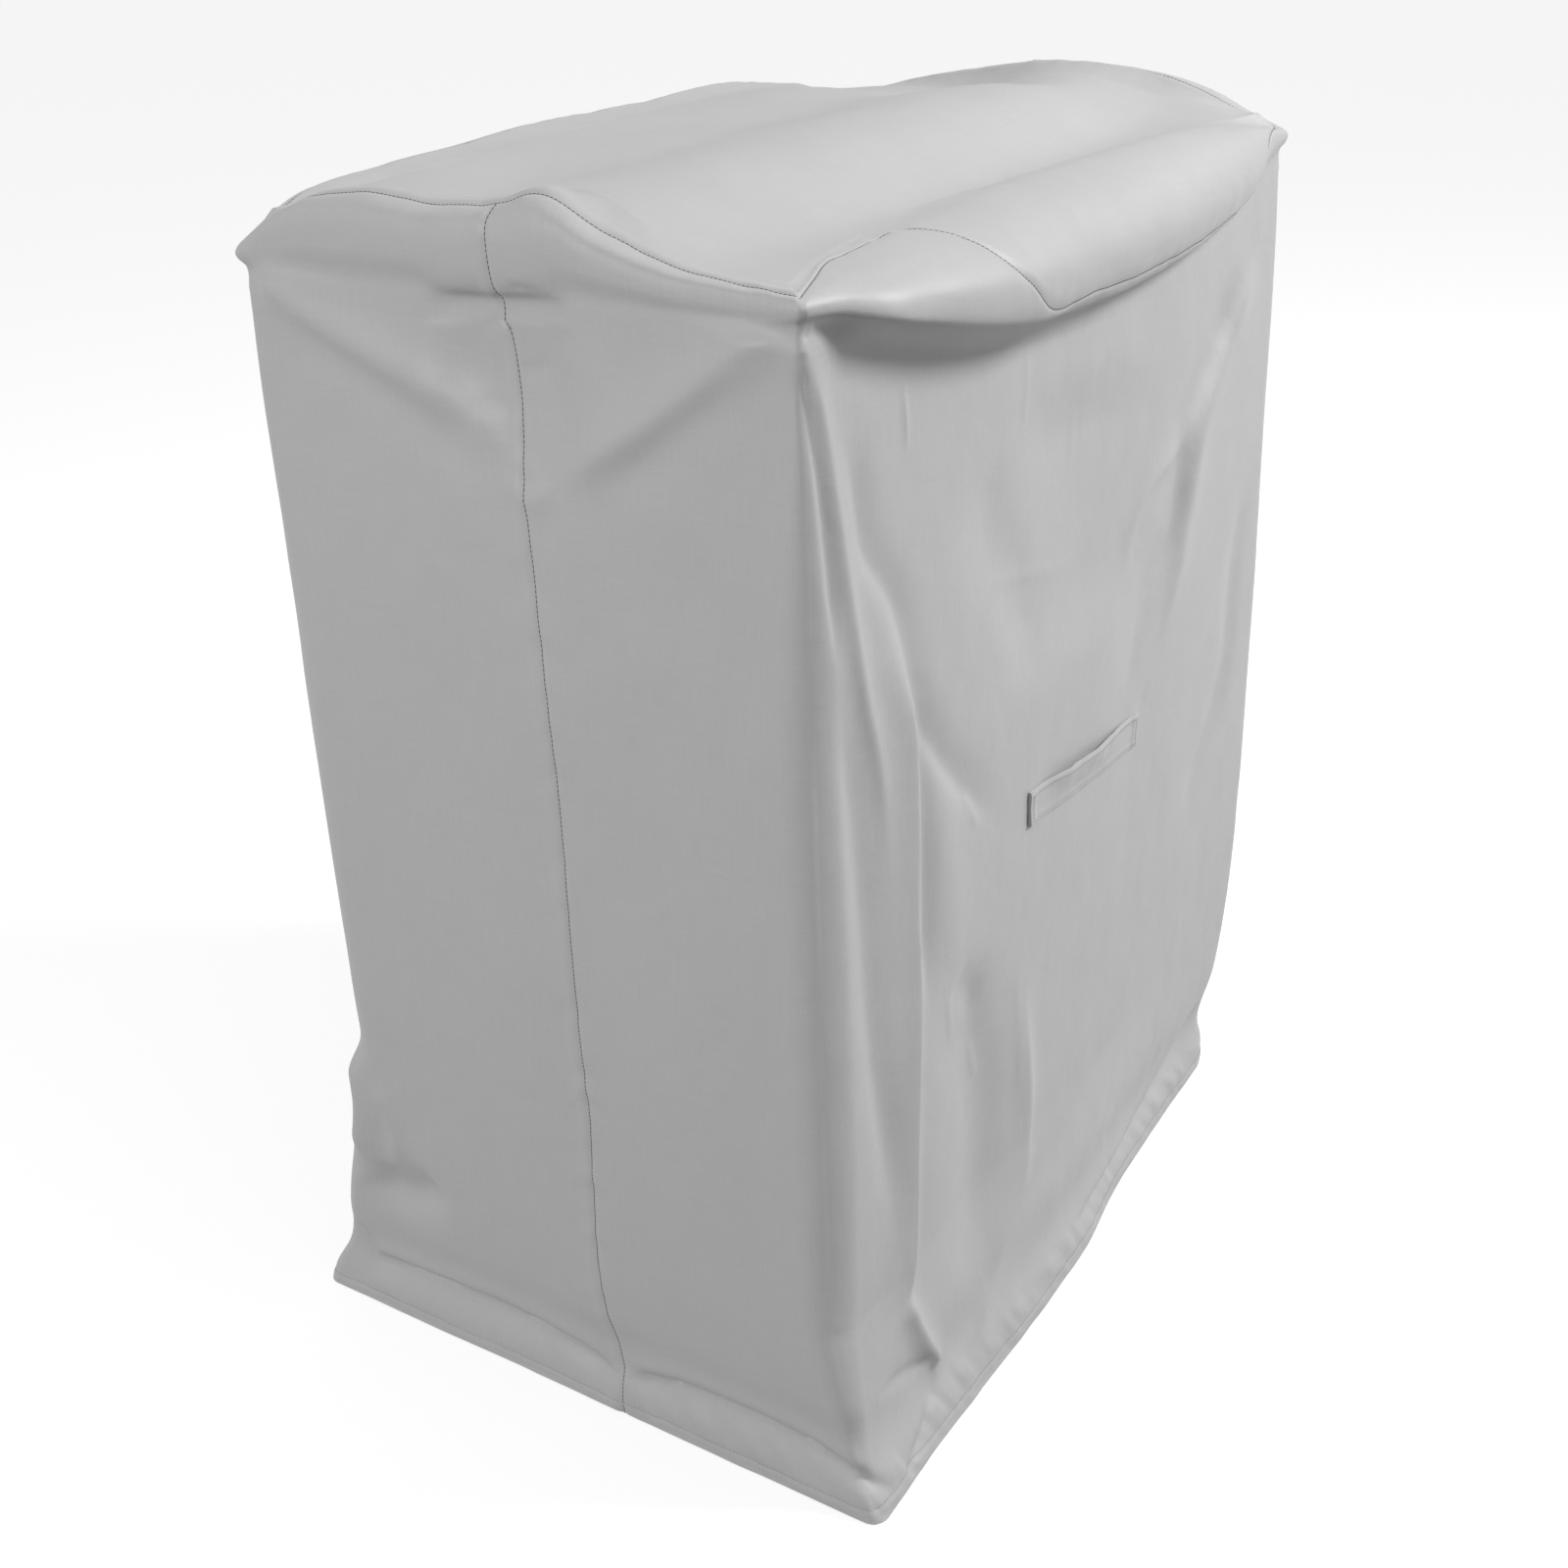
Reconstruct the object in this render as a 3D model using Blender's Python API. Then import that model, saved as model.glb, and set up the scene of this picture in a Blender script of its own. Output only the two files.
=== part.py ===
"""Fitted storage cover for a wood chipper, in grey coated cloth, hanging as it does over the machine.

The cover is four sewn pieces: a front wall and a back wall that meet at the middle of each narrow
end, a top panel, and a carry strap on the front wall. It is open at the bottom. The machine is left
out, so the cloth holds the shape that the machine gives it: four drooping corner points, a top that
stands higher between them, a long ridge, and a slack roll that hangs out over the front face.

Lengths run along X, the front wall with the strap faces -Y, and heights are first measured up from
the hem. Everything is then lowered so that the underside of the top panel's middle is the origin.
"""

from collections import namedtuple

import bpy
import numpy as np

# Sizes of the cover in metres
LENGTH = 0.95
DEPTH = 0.57
CORNER_HEIGHT = 1.14
SUPPORT_HEIGHT = 1.193
CLOTH = 0.002
SEAM_GAP = 0.0003

# Sizes of the carry strap
STRAP_LENGTH = 0.25
STRAP_WIDTH = 0.038
STRAP_MIDDLE = 0.018
STRAP_HEIGHT = 0.572
STRAP_DROP = 0.018
STRAP_BOW = 0.004
STRAP_CLEAR = 0.0003

# Where the columns of the mesh run, as distances along a side from its first corner
LONG_COLUMNS = (
    0.0, 0.010, 0.026, 0.048, 0.074, 0.100, 0.126, 0.152, 0.178, 0.204, 0.232, 0.264, 0.302,
    0.350, 0.410, 0.480, 0.550, 0.615, 0.675, 0.735, 0.795, 0.850, 0.895, 0.930, 0.95,
)
SHORT_COLUMNS = (
    0.0, 0.014, 0.046, 0.100, 0.165, 0.230, 0.285, 0.340, 0.390, 0.450, 0.515, 0.553, 0.57,
)

# Rows of the walls, as shares of the height between the hem and the neck below the rim
WALL_ROWS = (
    0.0, 0.026, 0.05, 0.09, 0.15, 0.23, 0.33, 0.44, 0.55, 0.66, 0.76, 0.85, 0.92, 0.97, 1.0,
)

# The four sides in order round the cover, each with its start corner, run and outward direction
Side = namedtuple("Side", "name start end run out columns")
SIDES = (
    Side("front", "near", "right", (1, 0), (0, -1), LONG_COLUMNS),
    Side("right", "right", "far", (0, 1), (1, 0), SHORT_COLUMNS),
    Side("back", "far", "left", (-1, 0), (0, 1), LONG_COLUMNS),
    Side("left", "left", "near", (0, -1), (-1, 0), SHORT_COLUMNS),
)

# How round each upright corner is at the corner point, half way up and at the hem,
# and how far its foot stands out along X and along Y, fading out at the height called rise.
Corner = namedtuple("Corner", "point_radius middle_radius hem_radius foot_x foot_y rise")
CORNERS = {
    "near": Corner(0.006, 0.040, 0.016, 0.000, 0.044, 0.20),
    "right": Corner(0.006, 0.040, 0.080, -0.020, -0.004, 0.13),
    "far": Corner(0.006, 0.040, 0.040, 0.012, 0.050, 0.26),
    "left": Corner(0.006, 0.036, 0.014, 0.010, 0.088, 0.35),
}

# The rim, one row per section round the top edge. at is the distance from the side's first corner.
# The lip is where the cloth turns out below the rim, the face is the rim's outermost part, the crest
# its highest line, and back is how far in the rim ends. seam is the share of the way from the lip to
# the back at which the top panel is sewn to the wall.
Rim = namedtuple("Rim", "at lip_out lip_z face_out crest_in crest_z back_in seam")
RIMS = {
    "front": (
        Rim(0.00, 0.004, 1.128, 0.005, 0.005, 1.141, 0.022, 0.50),
        Rim(0.04, 0.012, 1.125, 0.012, 0.010, 1.146, 0.040, 0.84),
        Rim(0.10, 0.034, 1.114, 0.032, 0.014, 1.151, 0.058, 0.84),
        Rim(0.165, 0.041, 1.099, 0.042, 0.018, 1.154, 0.074, 0.78),
        Rim(0.20, 0.043, 1.091, 0.046, 0.020, 1.155, 0.083, 0.56),
        Rim(0.25, 0.043, 1.080, 0.049, 0.023, 1.156, 0.092, 0.30),
        Rim(0.30, 0.041, 1.071, 0.050, 0.025, 1.157, 0.100, 0.10),
        Rim(0.42, 0.028, 1.058, 0.045, 0.030, 1.160, 0.105, 0.08),
        Rim(0.60, 0.020, 1.056, 0.040, 0.030, 1.160, 0.100, 0.08),
        Rim(0.72, 0.014, 1.066, 0.031, 0.028, 1.160, 0.085, 0.08),
        Rim(0.83, 0.008, 1.085, 0.019, 0.024, 1.157, 0.062, 0.10),
        Rim(0.89, 0.003, 1.110, 0.008, 0.018, 1.151, 0.042, 0.34),
        Rim(0.95, 0.004, 1.128, 0.005, 0.005, 1.141, 0.022, 0.50),
    ),
    "right": (
        Rim(0.00, 0.004, 1.128, 0.005, 0.005, 1.141, 0.022, 0.50),
        Rim(0.03, 0.002, 1.126, 0.003, 0.014, 1.158, 0.034, 0.66),
        Rim(0.08, 0.004, 1.128, 0.007, 0.018, 1.183, 0.050, 0.72),
        Rim(0.15, 0.006, 1.130, 0.010, 0.020, 1.198, 0.060, 0.72),
        Rim(0.25, 0.006, 1.130, 0.012, 0.020, 1.206, 0.064, 0.72),
        Rim(0.36, 0.006, 1.130, 0.010, 0.020, 1.196, 0.060, 0.70),
        Rim(0.46, 0.004, 1.128, 0.007, 0.018, 1.180, 0.052, 0.66),
        Rim(0.54, 0.002, 1.126, 0.003, 0.014, 1.156, 0.034, 0.60),
        Rim(0.57, 0.004, 1.128, 0.005, 0.005, 1.141, 0.022, 0.50),
    ),
    "back": (
        Rim(0.00, 0.004, 1.128, 0.005, 0.005, 1.141, 0.022, 0.50),
        Rim(0.04, 0.002, 1.126, 0.003, 0.014, 1.166, 0.038, 0.60),
        Rim(0.14, 0.004, 1.130, 0.006, 0.020, 1.187, 0.055, 0.70),
        Rim(0.21, 0.006, 1.130, 0.008, 0.022, 1.196, 0.060, 0.70),
        Rim(0.42, 0.006, 1.130, 0.010, 0.022, 1.196, 0.060, 0.70),
        Rim(0.63, 0.006, 1.130, 0.008, 0.022, 1.193, 0.060, 0.70),
        Rim(0.79, 0.004, 1.130, 0.006, 0.020, 1.183, 0.055, 0.70),
        Rim(0.90, 0.002, 1.126, 0.003, 0.016, 1.171, 0.040, 0.60),
        Rim(0.95, 0.004, 1.128, 0.005, 0.005, 1.141, 0.022, 0.50),
    ),
    "left": (
        Rim(0.00, 0.004, 1.128, 0.005, 0.005, 1.141, 0.022, 0.50),
        Rim(0.04, 0.003, 1.124, 0.005, 0.016, 1.170, 0.040, 0.60),
        Rim(0.13, 0.006, 1.120, 0.012, 0.020, 1.190, 0.056, 0.62),
        Rim(0.22, 0.007, 1.120, 0.014, 0.020, 1.185, 0.060, 0.62),
        Rim(0.28, 0.008, 1.122, 0.015, 0.020, 1.189, 0.060, 0.62),
        Rim(0.335, 0.008, 1.124, 0.015, 0.020, 1.201, 0.060, 0.62),
        Rim(0.39, 0.006, 1.124, 0.012, 0.018, 1.173, 0.052, 0.62),
        Rim(0.45, 0.004, 1.122, 0.008, 0.014, 1.154, 0.040, 0.62),
        Rim(0.52, 0.002, 1.122, 0.003, 0.010, 1.144, 0.030, 0.58),
        Rim(0.57, 0.004, 1.128, 0.005, 0.005, 1.141, 0.022, 0.50),
    ),
}

# Heights of the top panel, one row per section along X and one column per line along the cover
TOP_LINES = (0.25, 0.10, -0.085, -0.175, -0.25)
Top = namedtuple("Top", "x rear middle ridge valley front")
TOPS = (
    Top(-0.475, 1.165, 1.186, 1.186, 1.150, 1.142),
    Top(-0.36, 1.176, 1.176, 1.186, 1.146, 1.150),
    Top(-0.20, 1.188, 1.180, 1.190, 1.145, 1.155),
    Top(0.00, 1.193, 1.184, 1.192, 1.145, 1.158),
    Top(0.17, 1.193, 1.187, 1.194, 1.147, 1.158),
    Top(0.30, 1.186, 1.184, 1.197, 1.152, 1.157),
    Top(0.40, 1.174, 1.178, 1.198, 1.166, 1.156),
    Top(0.475, 1.165, 1.188, 1.200, 1.192, 1.158),
)

# Dips and swells of the top panel between those lines
Swell = namedtuple("Swell", "name x y half_x half_y height")
SWELLS = (
    Swell("dip before the right rim", 0.345, 0.02, 0.065, 0.085, -0.022),
    Swell("swell at the back", 0.22, 0.17, 0.10, 0.06, 0.006),
    Swell("dip at the back left", -0.30, 0.12, 0.10, 0.06, -0.008),
)

# How far the walls stand out from their nominal planes, by height above the hem
Level = namedtuple("Level", "z out")
LEVELS = (
    Level(0.000, 0.006),
    Level(0.028, 0.004),
    Level(0.055, -0.003),
    Level(0.120, 0.004),
    Level(0.300, 0.009),
    Level(0.600, 0.011),
    Level(0.850, 0.009),
    Level(1.000, 0.004),
    Level(1.100, 0.000),
    Level(1.300, 0.000),
)

# Folds of the walls. u runs from the near corner to the right along the front wall and is negative
# on the left end; z is the height above the hem. Each fold is a bent line with a width and a depth.
Fold = namedtuple("Fold", "name u0 z0 u1 z1 u2 z2 width height")
FOLDS = (
    Fold("groove beside the near corner", 0.016, 1.10, 0.010, 0.85, 0.080, 0.50, 0.016, -0.010),
    Fold("ridge from the near corner", 0.030, 1.09, 0.070, 0.92, 0.130, 0.42, 0.020, 0.012),
    Fold("trough to the strap's near end", 0.045, 1.08, 0.120, 0.84, 0.330, 0.60, 0.026, -0.014),
    Fold("standing crease", 0.143, 0.78, 0.152, 0.50, 0.143, 0.20, 0.012, 0.009),
    Fold("foot of the standing crease", 0.143, 0.24, 0.200, 0.10, 0.120, 0.00, 0.020, 0.010),
    Fold("trough from the right corner", 0.900, 1.10, 0.690, 0.93, 0.620, 0.62, 0.026, -0.013),
    Fold("ridge from the right corner", 0.925, 1.09, 0.760, 0.90, 0.680, 0.56, 0.028, 0.010),
    Fold("slack above the strap", 0.480, 1.00, 0.460, 0.86, 0.480, 0.70, 0.130, -0.010),
    Fold("band from the left corner", -0.555, 1.10, -0.450, 1.03, -0.270, 0.95, 0.028, 0.008),
    Fold("band from the near corner", -0.020, 1.10, -0.120, 1.02, -0.260, 0.92, 0.028, 0.008),
    Fold("hollow below the left rim", -0.200, 1.06, -0.285, 1.05, -0.370, 1.06, 0.060, -0.011),
    Fold("fold at the left foot", -0.575, 0.34, -0.530, 0.28, -0.545, 0.18, 0.018, 0.010),
    Fold("pool at the left foot", -0.540, 0.19, -0.510, 0.15, -0.450, 0.20, 0.030, -0.009),
    Fold("bow of the front hem", 0.380, 0.14, 0.420, 0.06, 0.480, -0.08, 0.200, 0.012),
    Fold("swell of the back wall", 1.900, 0.90, 1.950, 0.60, 1.880, 0.30, 0.160, 0.008),
    Fold("fold of the back wall", 2.220, 1.06, 2.150, 0.70, 2.190, 0.20, 0.035, -0.008),
    Fold("second fold of the back wall", 1.680, 1.06, 1.730, 0.80, 1.720, 0.30, 0.035, -0.007),
    Fold("fold of the right end", 1.060, 1.06, 1.130, 0.80, 1.110, 0.30, 0.030, -0.007),
    Fold("ridge of the right end", 1.400, 1.06, 1.330, 0.80, 1.350, 0.30, 0.030, 0.007),
)

# Cloth colours
CLOTH_GREY = (0.50, 0.51, 0.52, 1.0)
STRAP_GREY = (0.48, 0.49, 0.50, 1.0)

PERIMETER = 2 * (LENGTH + DEPTH)


def smooth(value):
    """0 to 1 with level ends."""
    value = np.clip(value, 0.0, 1.0)
    return value * value * (3 - 2 * value)


def along(rows, key, columns, at):
    """Smooth curves through a table's rows, read at a distance, one value per named column."""
    places = np.array([getattr(row, key) for row in rows], float)
    values = np.array([[getattr(row, column) for column in columns] for row in rows], float)
    slopes = np.gradient(values, places, axis=0)
    index = int(np.clip(np.searchsorted(places, at) - 1, 0, len(places) - 2))
    step = places[index + 1] - places[index]
    t = np.clip((at - places[index]) / step, 0.0, 1.0)
    low = values[index] * (1 + 2 * t) * (1 - t) ** 2 + slopes[index] * step * t * (1 - t) ** 2
    high = values[index + 1] * t * t * (3 - 2 * t) - slopes[index + 1] * step * t * t * (1 - t)
    return low + high


def round_distance(u, other):
    """Signed distance round the cover from one place to another, the short way."""
    return (u - other + PERIMETER / 2) % PERIMETER - PERIMETER / 2


def fold_depth(fold, u, z):
    """How far one fold pushes the wall out at a place: a bent ridge that fades at both ends."""
    best, where = 1e9, 0.0
    for step in range(25):
        t = step / 24
        a, b, c = (1 - t) ** 2, 2 * t * (1 - t), t * t
        du = round_distance(u, a * fold.u0 + b * fold.u1 + c * fold.u2)
        dz = z - (a * fold.z0 + b * fold.z1 + c * fold.z2)
        distance = float(np.hypot(du, dz))
        if distance < best:
            best, where = distance, t
    fade = smooth(where / 0.25 + 0.15) * smooth((1 - where) / 0.3 + 0.15)
    return fold.height * fade * float(np.exp(-((best / fold.width) ** 2)))


def wall_out(u, z):
    """How far the wall stands out from its nominal plane."""
    out = along(LEVELS, "z", ("out",), z)[0]
    for fold in FOLDS:
        out += fold_depth(fold, u, z)
    return out


def corner_radius(name, z):
    corner = CORNERS[name]
    up = smooth((z - 0.75) / (CORNER_HEIGHT - 0.75))
    down = smooth((0.28 - z) / 0.28)
    radius = corner.middle_radius + (corner.point_radius - corner.middle_radius) * up
    return radius + (corner.hem_radius - radius) * down


def foot(name, axis, z):
    """How far a corner's foot stands out along X or Y at a height."""
    corner = CORNERS[name]
    fade = max(1 - z / corner.rise, 0.0)
    return (corner.foot_x if axis == "x" else corner.foot_y) * fade * (0.75 + 0.25 * fade)


def ring_point(side, share, out, z):
    """Plan position at a share of the way along a side, on the rounded rectangle grown by out."""
    half_run, half_out = (LENGTH / 2, DEPTH / 2) if side.run[0] else (DEPTH / 2, LENGTH / 2)
    along_axis, out_axis = ("x", "y") if side.run[0] else ("y", "x")
    begin = -half_run - out - foot(side.start, along_axis, z)
    finish = half_run + out + foot(side.end, along_axis, z)
    first_foot, last_foot = foot(side.start, out_axis, z), foot(side.end, out_axis, z)
    reach = half_out + out + first_foot + (last_foot - first_foot) * share
    first = max(corner_radius(side.start, z) + min(out, 0.0), 0.0012)
    last = max(corner_radius(side.end, z) + min(out, 0.0), 0.0012)
    arc_first, arc_last = first * np.pi / 4, last * np.pi / 4
    straight = finish - begin - first - last
    distance = share * (arc_first + straight + arc_last)
    if distance < arc_first:
        angle = np.pi / 4 - distance / first
        run = begin + first - first * np.sin(angle)
        away = reach - first + first * np.cos(angle)
    elif distance > arc_first + straight:
        angle = (distance - arc_first - straight) / last
        run = finish - last + last * np.sin(angle)
        away = reach - last + last * np.cos(angle)
    else:
        run = begin + first + distance - arc_first
        away = reach
    return run * np.array(side.run) + away * np.array(side.out)


def top_height(x, y):
    """Height of the top panel above the hem, from its section table and its swells."""
    section = along(TOPS, "x", ("rear", "middle", "ridge", "valley", "front"), x)
    lines = np.array(TOP_LINES)[::-1]
    heights = section[::-1]
    slopes = np.gradient(heights, lines)
    y = float(np.clip(y, lines[0], lines[-1]))
    index = int(np.clip(np.searchsorted(lines, y) - 1, 0, len(lines) - 2))
    step = lines[index + 1] - lines[index]
    t = (y - lines[index]) / step
    z = heights[index] * (1 + 2 * t) * (1 - t) ** 2 + slopes[index] * step * t * (1 - t) ** 2
    z += heights[index + 1] * t * t * (3 - 2 * t) - slopes[index + 1] * step * t * t * (1 - t)
    for swell in SWELLS:
        reach = ((x - swell.x) / swell.half_x) ** 2 + ((y - swell.y) / swell.half_y) ** 2
        z += swell.height * float(np.exp(-reach))
    return z


def bezier_row(points, share):
    """A place on a smooth line through the rim's stations."""
    points = np.array(points, float)
    gaps = np.hypot(*np.diff(points, axis=0).T)
    places = np.concatenate([[0.0], np.cumsum(gaps)])
    slopes = np.gradient(points, places, axis=0)
    at = share * places[-1]
    index = int(np.clip(np.searchsorted(places, at) - 1, 0, len(places) - 2))
    step = places[index + 1] - places[index]
    t = (at - places[index]) / step
    low = points[index] * (1 + 2 * t) * (1 - t) ** 2 + slopes[index] * step * t * (1 - t) ** 2
    high = points[index + 1] * t * t * (3 - 2 * t) - slopes[index + 1] * step * t * t * (1 - t)
    return low + high


def column_points(side, distance, u):
    """All points of one column, from the hem up the wall, over the rim and in to the rim's back."""
    length = side.columns[-1]
    share = distance / length
    lip_out, lip_z, face_out, crest_in, crest_z, back_in, seam = along(
        RIMS[side.name], "at", Rim._fields[1:], distance
    )
    neck_z = lip_z - 0.028
    points = []
    for row in WALL_ROWS:
        z = neck_z * row
        points.append((*ring_point(side, share, wall_out(u, z), z), z))
    neck_out = wall_out(u, neck_z)
    under = (neck_out + 0.35 * (lip_out - neck_out) * (lip_out > 0.02), lip_z - 0.006)
    points.append((*ring_point(side, share, under[0], under[1]), under[1]))
    back_xy = ring_point(side, share, -back_in, CORNER_HEIGHT)
    stations = (
        (lip_out, lip_z),
        (face_out, lip_z + 0.38 * (crest_z - lip_z)),
        (-crest_in * 0.1 + face_out * 0.45, lip_z + 0.84 * (crest_z - lip_z)),
        (-crest_in, crest_z),
        (-back_in, top_height(*back_xy)),
    )
    shares = [0.0] + [seam * k / 3 for k in (1, 2, 3)]
    shares += [seam + (1 - seam) * k / 4 for k in (1, 2, 3, 4)]
    for place in shares:
        out, z = bezier_row(stations, place)
        points.append((*ring_point(side, share, out, CORNER_HEIGHT), z))
    return points


def middle_surface():
    """Points and faces of the cloth's middle layer, each face labelled with its piece."""
    columns, labels = [], []
    u = 0.0
    for side in SIDES:
        half = side.columns[-1] / 2
        for distance in side.columns[:-1]:
            columns.append(column_points(side, distance, u + distance))
            if side.name == "front":
                labels.append("front_wall")
            elif side.name == "back":
                labels.append("back_wall")
            elif side.name == "right":
                labels.append("front_wall" if distance < half - 1e-6 else "back_wall")
            else:
                labels.append("back_wall" if distance < half - 1e-6 else "front_wall")
        u += side.columns[-1]
    grid = np.array(columns)
    count, rows = grid.shape[:2]
    seam_row = len(WALL_ROWS) + 4
    points = grid.reshape(-1, 3).tolist()
    faces, pieces = [], []
    for i in range(count):
        after = (i + 1) % count
        for k in range(rows - 1):
            faces.append((i * rows + k, after * rows + k, after * rows + k + 1, i * rows + k + 1))
            pieces.append(labels[i] if k < seam_row else "top_panel")
    return points, faces, pieces, grid, rows


def add_middle_of_top(points, faces, pieces, grid, rows):
    """Fills the ring inside the rim with a grid whose heights come from the top's own table."""
    nx, ny = len(LONG_COLUMNS) - 1, len(SHORT_COLUMNS) - 1
    edge = [i * rows + rows - 1 for i in range(2 * (nx + ny))]
    index = -np.ones((nx + 1, ny + 1), int)
    for i in range(nx + 1):
        index[i, 0] = edge[i]
        index[nx - i, ny] = edge[(nx + ny + i) % len(edge)]
    for j in range(ny + 1):
        index[nx, j] = edge[nx + j]
        index[0, ny - j] = edge[(2 * nx + ny + j) % len(edge)]
    known = {key: np.array(points[index[key]]) for key in np.ndindex(nx + 1, ny + 1) if index[key] >= 0}
    for i in range(1, nx):
        for j in range(1, ny):
            s = (LONG_COLUMNS[i] + LENGTH - LONG_COLUMNS[nx - i]) / 2 / LENGTH
            t = SHORT_COLUMNS[j] / DEPTH
            plan = (1 - t) * known[i, 0] + t * known[i, ny] + (1 - s) * known[0, j] + s * known[nx, j]
            plan -= (1 - s) * (1 - t) * known[0, 0] + s * (1 - t) * known[nx, 0]
            plan -= (1 - s) * t * known[0, ny] + s * t * known[nx, ny]
            index[i, j] = len(points)
            points.append((plan[0], plan[1], top_height(plan[0], plan[1])))
    for i in range(nx):
        for j in range(ny):
            faces.append((index[i, j], index[i + 1, j], index[i + 1, j + 1], index[i, j + 1]))
            pieces.append("top_panel")


def vertex_normals(points, faces):
    """Unit normals of the whole cloth, shared by pieces that meet at a seam."""
    points = np.array(points)
    normals = np.zeros_like(points)
    for face in faces:
        corners = points[list(face)]
        normal = np.cross(corners[2] - corners[0], corners[3] - corners[1])
        for corner in face:
            normals[corner] += normal
    return normals / np.linalg.norm(normals, axis=1)[:, None]


def edge_shift(points, faces):
    """Draws a piece's open edges back by half the seam gap, so that neighbours don't touch."""
    seen = {}
    for face in faces:
        for a, b in zip(face, face[1:] + face[:1]):
            seen[a, b] = face
    moved = {}
    for (a, b), face in seen.items():
        if (b, a) in seen:
            continue
        centre = np.mean([points[corner] for corner in face], axis=0)
        start, end = np.array(points[a]), np.array(points[b])
        line = (end - start) / np.linalg.norm(end - start)
        inward = centre - start
        inward -= line * inward.dot(line)
        inward /= np.linalg.norm(inward)
        for corner in (a, b):
            moved.setdefault(corner, []).append(inward)
    shifts = {}
    for corner, directions in moved.items():
        total = np.sum(directions, axis=0)
        shifts[corner] = total / np.linalg.norm(total) * SEAM_GAP / 2 * len(directions) ** 0.25
    return shifts


def cloth_material(name, colour, roughness):
    material = bpy.data.materials.new(name)
    material.use_nodes = True
    shader = material.node_tree.nodes["Principled BSDF"]
    shader.inputs["Base Color"].default_value = colour
    shader.inputs["Roughness"].default_value = roughness
    shader.inputs["Metallic"].default_value = 0.0
    return material


def add_shell(name, points, normals, faces, material):
    """One closed thin body: the outer layer, the inner layer and the edges between them."""
    used = sorted({corner for face in faces for corner in face})
    place = {corner: i for i, corner in enumerate(used)}
    shifts = edge_shift(points, faces)
    middle = np.array([np.array(points[c]) + shifts.get(c, 0.0) for c in used])
    across = np.array([normals[c] for c in used]) * CLOTH / 2
    lowered = np.array([0.0, 0.0, SUPPORT_HEIGHT])
    vertices = np.concatenate([middle + across, middle - across]) - lowered
    count = len(used)
    outer = [tuple(place[c] for c in face) for face in faces]
    inner = [tuple(c + count for c in reversed(face)) for face in outer]
    directed = {(a, b) for face in outer for a, b in zip(face, face[1:] + face[:1])}
    sides = [(b, a, a + count, b + count) for a, b in directed if (b, a) not in directed]
    mesh = bpy.data.meshes.new(name)
    mesh.from_pydata(vertices.tolist(), [], outer + inner + sorted(sides))
    mesh.materials.append(material)
    mesh.shade_smooth()
    mesh.set_sharp_from_angle(angle=np.radians(50))
    obj = bpy.data.objects.new(name, mesh)
    bpy.context.scene.collection.objects.link(obj)
    return obj


def add_strap(material):
    """A flat strap sewn at its two ends, lying on the front wall with its middle a little off it."""
    steps, across = 30, 4
    front = SIDES[0]
    rows = []
    for i in range(steps + 1):
        share = i / steps
        x = STRAP_MIDDLE + (share - 0.5) * STRAP_LENGTH
        centre_z = STRAP_HEIGHT + (0.5 - share) * STRAP_DROP
        lift = STRAP_BOW * smooth((0.5 - abs(share - 0.5)) / 0.36 - 0.12)
        row = []
        for j in range(across + 1):
            z = centre_z + (j / across - 0.5) * STRAP_WIDTH
            u = x + LENGTH / 2
            wall = [
                ring_point(front, u / LENGTH, wall_out(u + du, z + dz), z)[1]
                for du in (-0.004, 0.0, 0.004)
                for dz in (-0.004, 0.0, 0.004)
            ]
            y = min(wall) - CLOTH / 2 - STRAP_CLEAR
            row.append((x, y - lift * (0.7 + 0.6 * j / across), z - SUPPORT_HEIGHT))
        rows.append(row)
    grid = np.array(rows)
    inner = grid.reshape(-1, 3)
    outer = inner - np.array([0.0, CLOTH, 0.0])
    wide = across + 1
    quads = [
        (i * wide + j, (i + 1) * wide + j, (i + 1) * wide + j + 1, i * wide + j + 1)
        for i in range(steps)
        for j in range(across)
    ]
    count = len(inner)
    back = [tuple(c + count for c in reversed(face)) for face in quads]
    directed = {(a, b) for face in quads for a, b in zip(face, face[1:] + face[:1])}
    sides = [(b, a, a + count, b + count) for a, b in directed if (b, a) not in directed]
    mesh = bpy.data.meshes.new("carry_handle")
    mesh.from_pydata(np.concatenate([outer, inner]).tolist(), [], quads + back + sorted(sides))
    mesh.materials.append(material)
    mesh.shade_smooth()
    mesh.set_sharp_from_angle(angle=np.radians(50))
    obj = bpy.data.objects.new("carry_handle", mesh)
    bpy.context.scene.collection.objects.link(obj)
    return obj


def main():
    for obj in list(bpy.data.objects):
        bpy.data.objects.remove(obj, do_unlink=True)
    points, faces, pieces, grid, rows = middle_surface()
    add_middle_of_top(points, faces, pieces, grid, rows)
    normals = vertex_normals(points, faces)
    for name in ("front_wall", "back_wall", "top_panel"):
        chosen = [face for face, piece in zip(faces, pieces) if piece == name]
        add_shell(name, points, normals, chosen, cloth_material(name + "_cloth", CLOTH_GREY, 0.62))
    add_strap(cloth_material("strap_cloth", STRAP_GREY, 0.66))


main()
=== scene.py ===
from collections import namedtuple

import bpy
import numpy as np
from mathutils import Matrix, Vector


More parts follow.
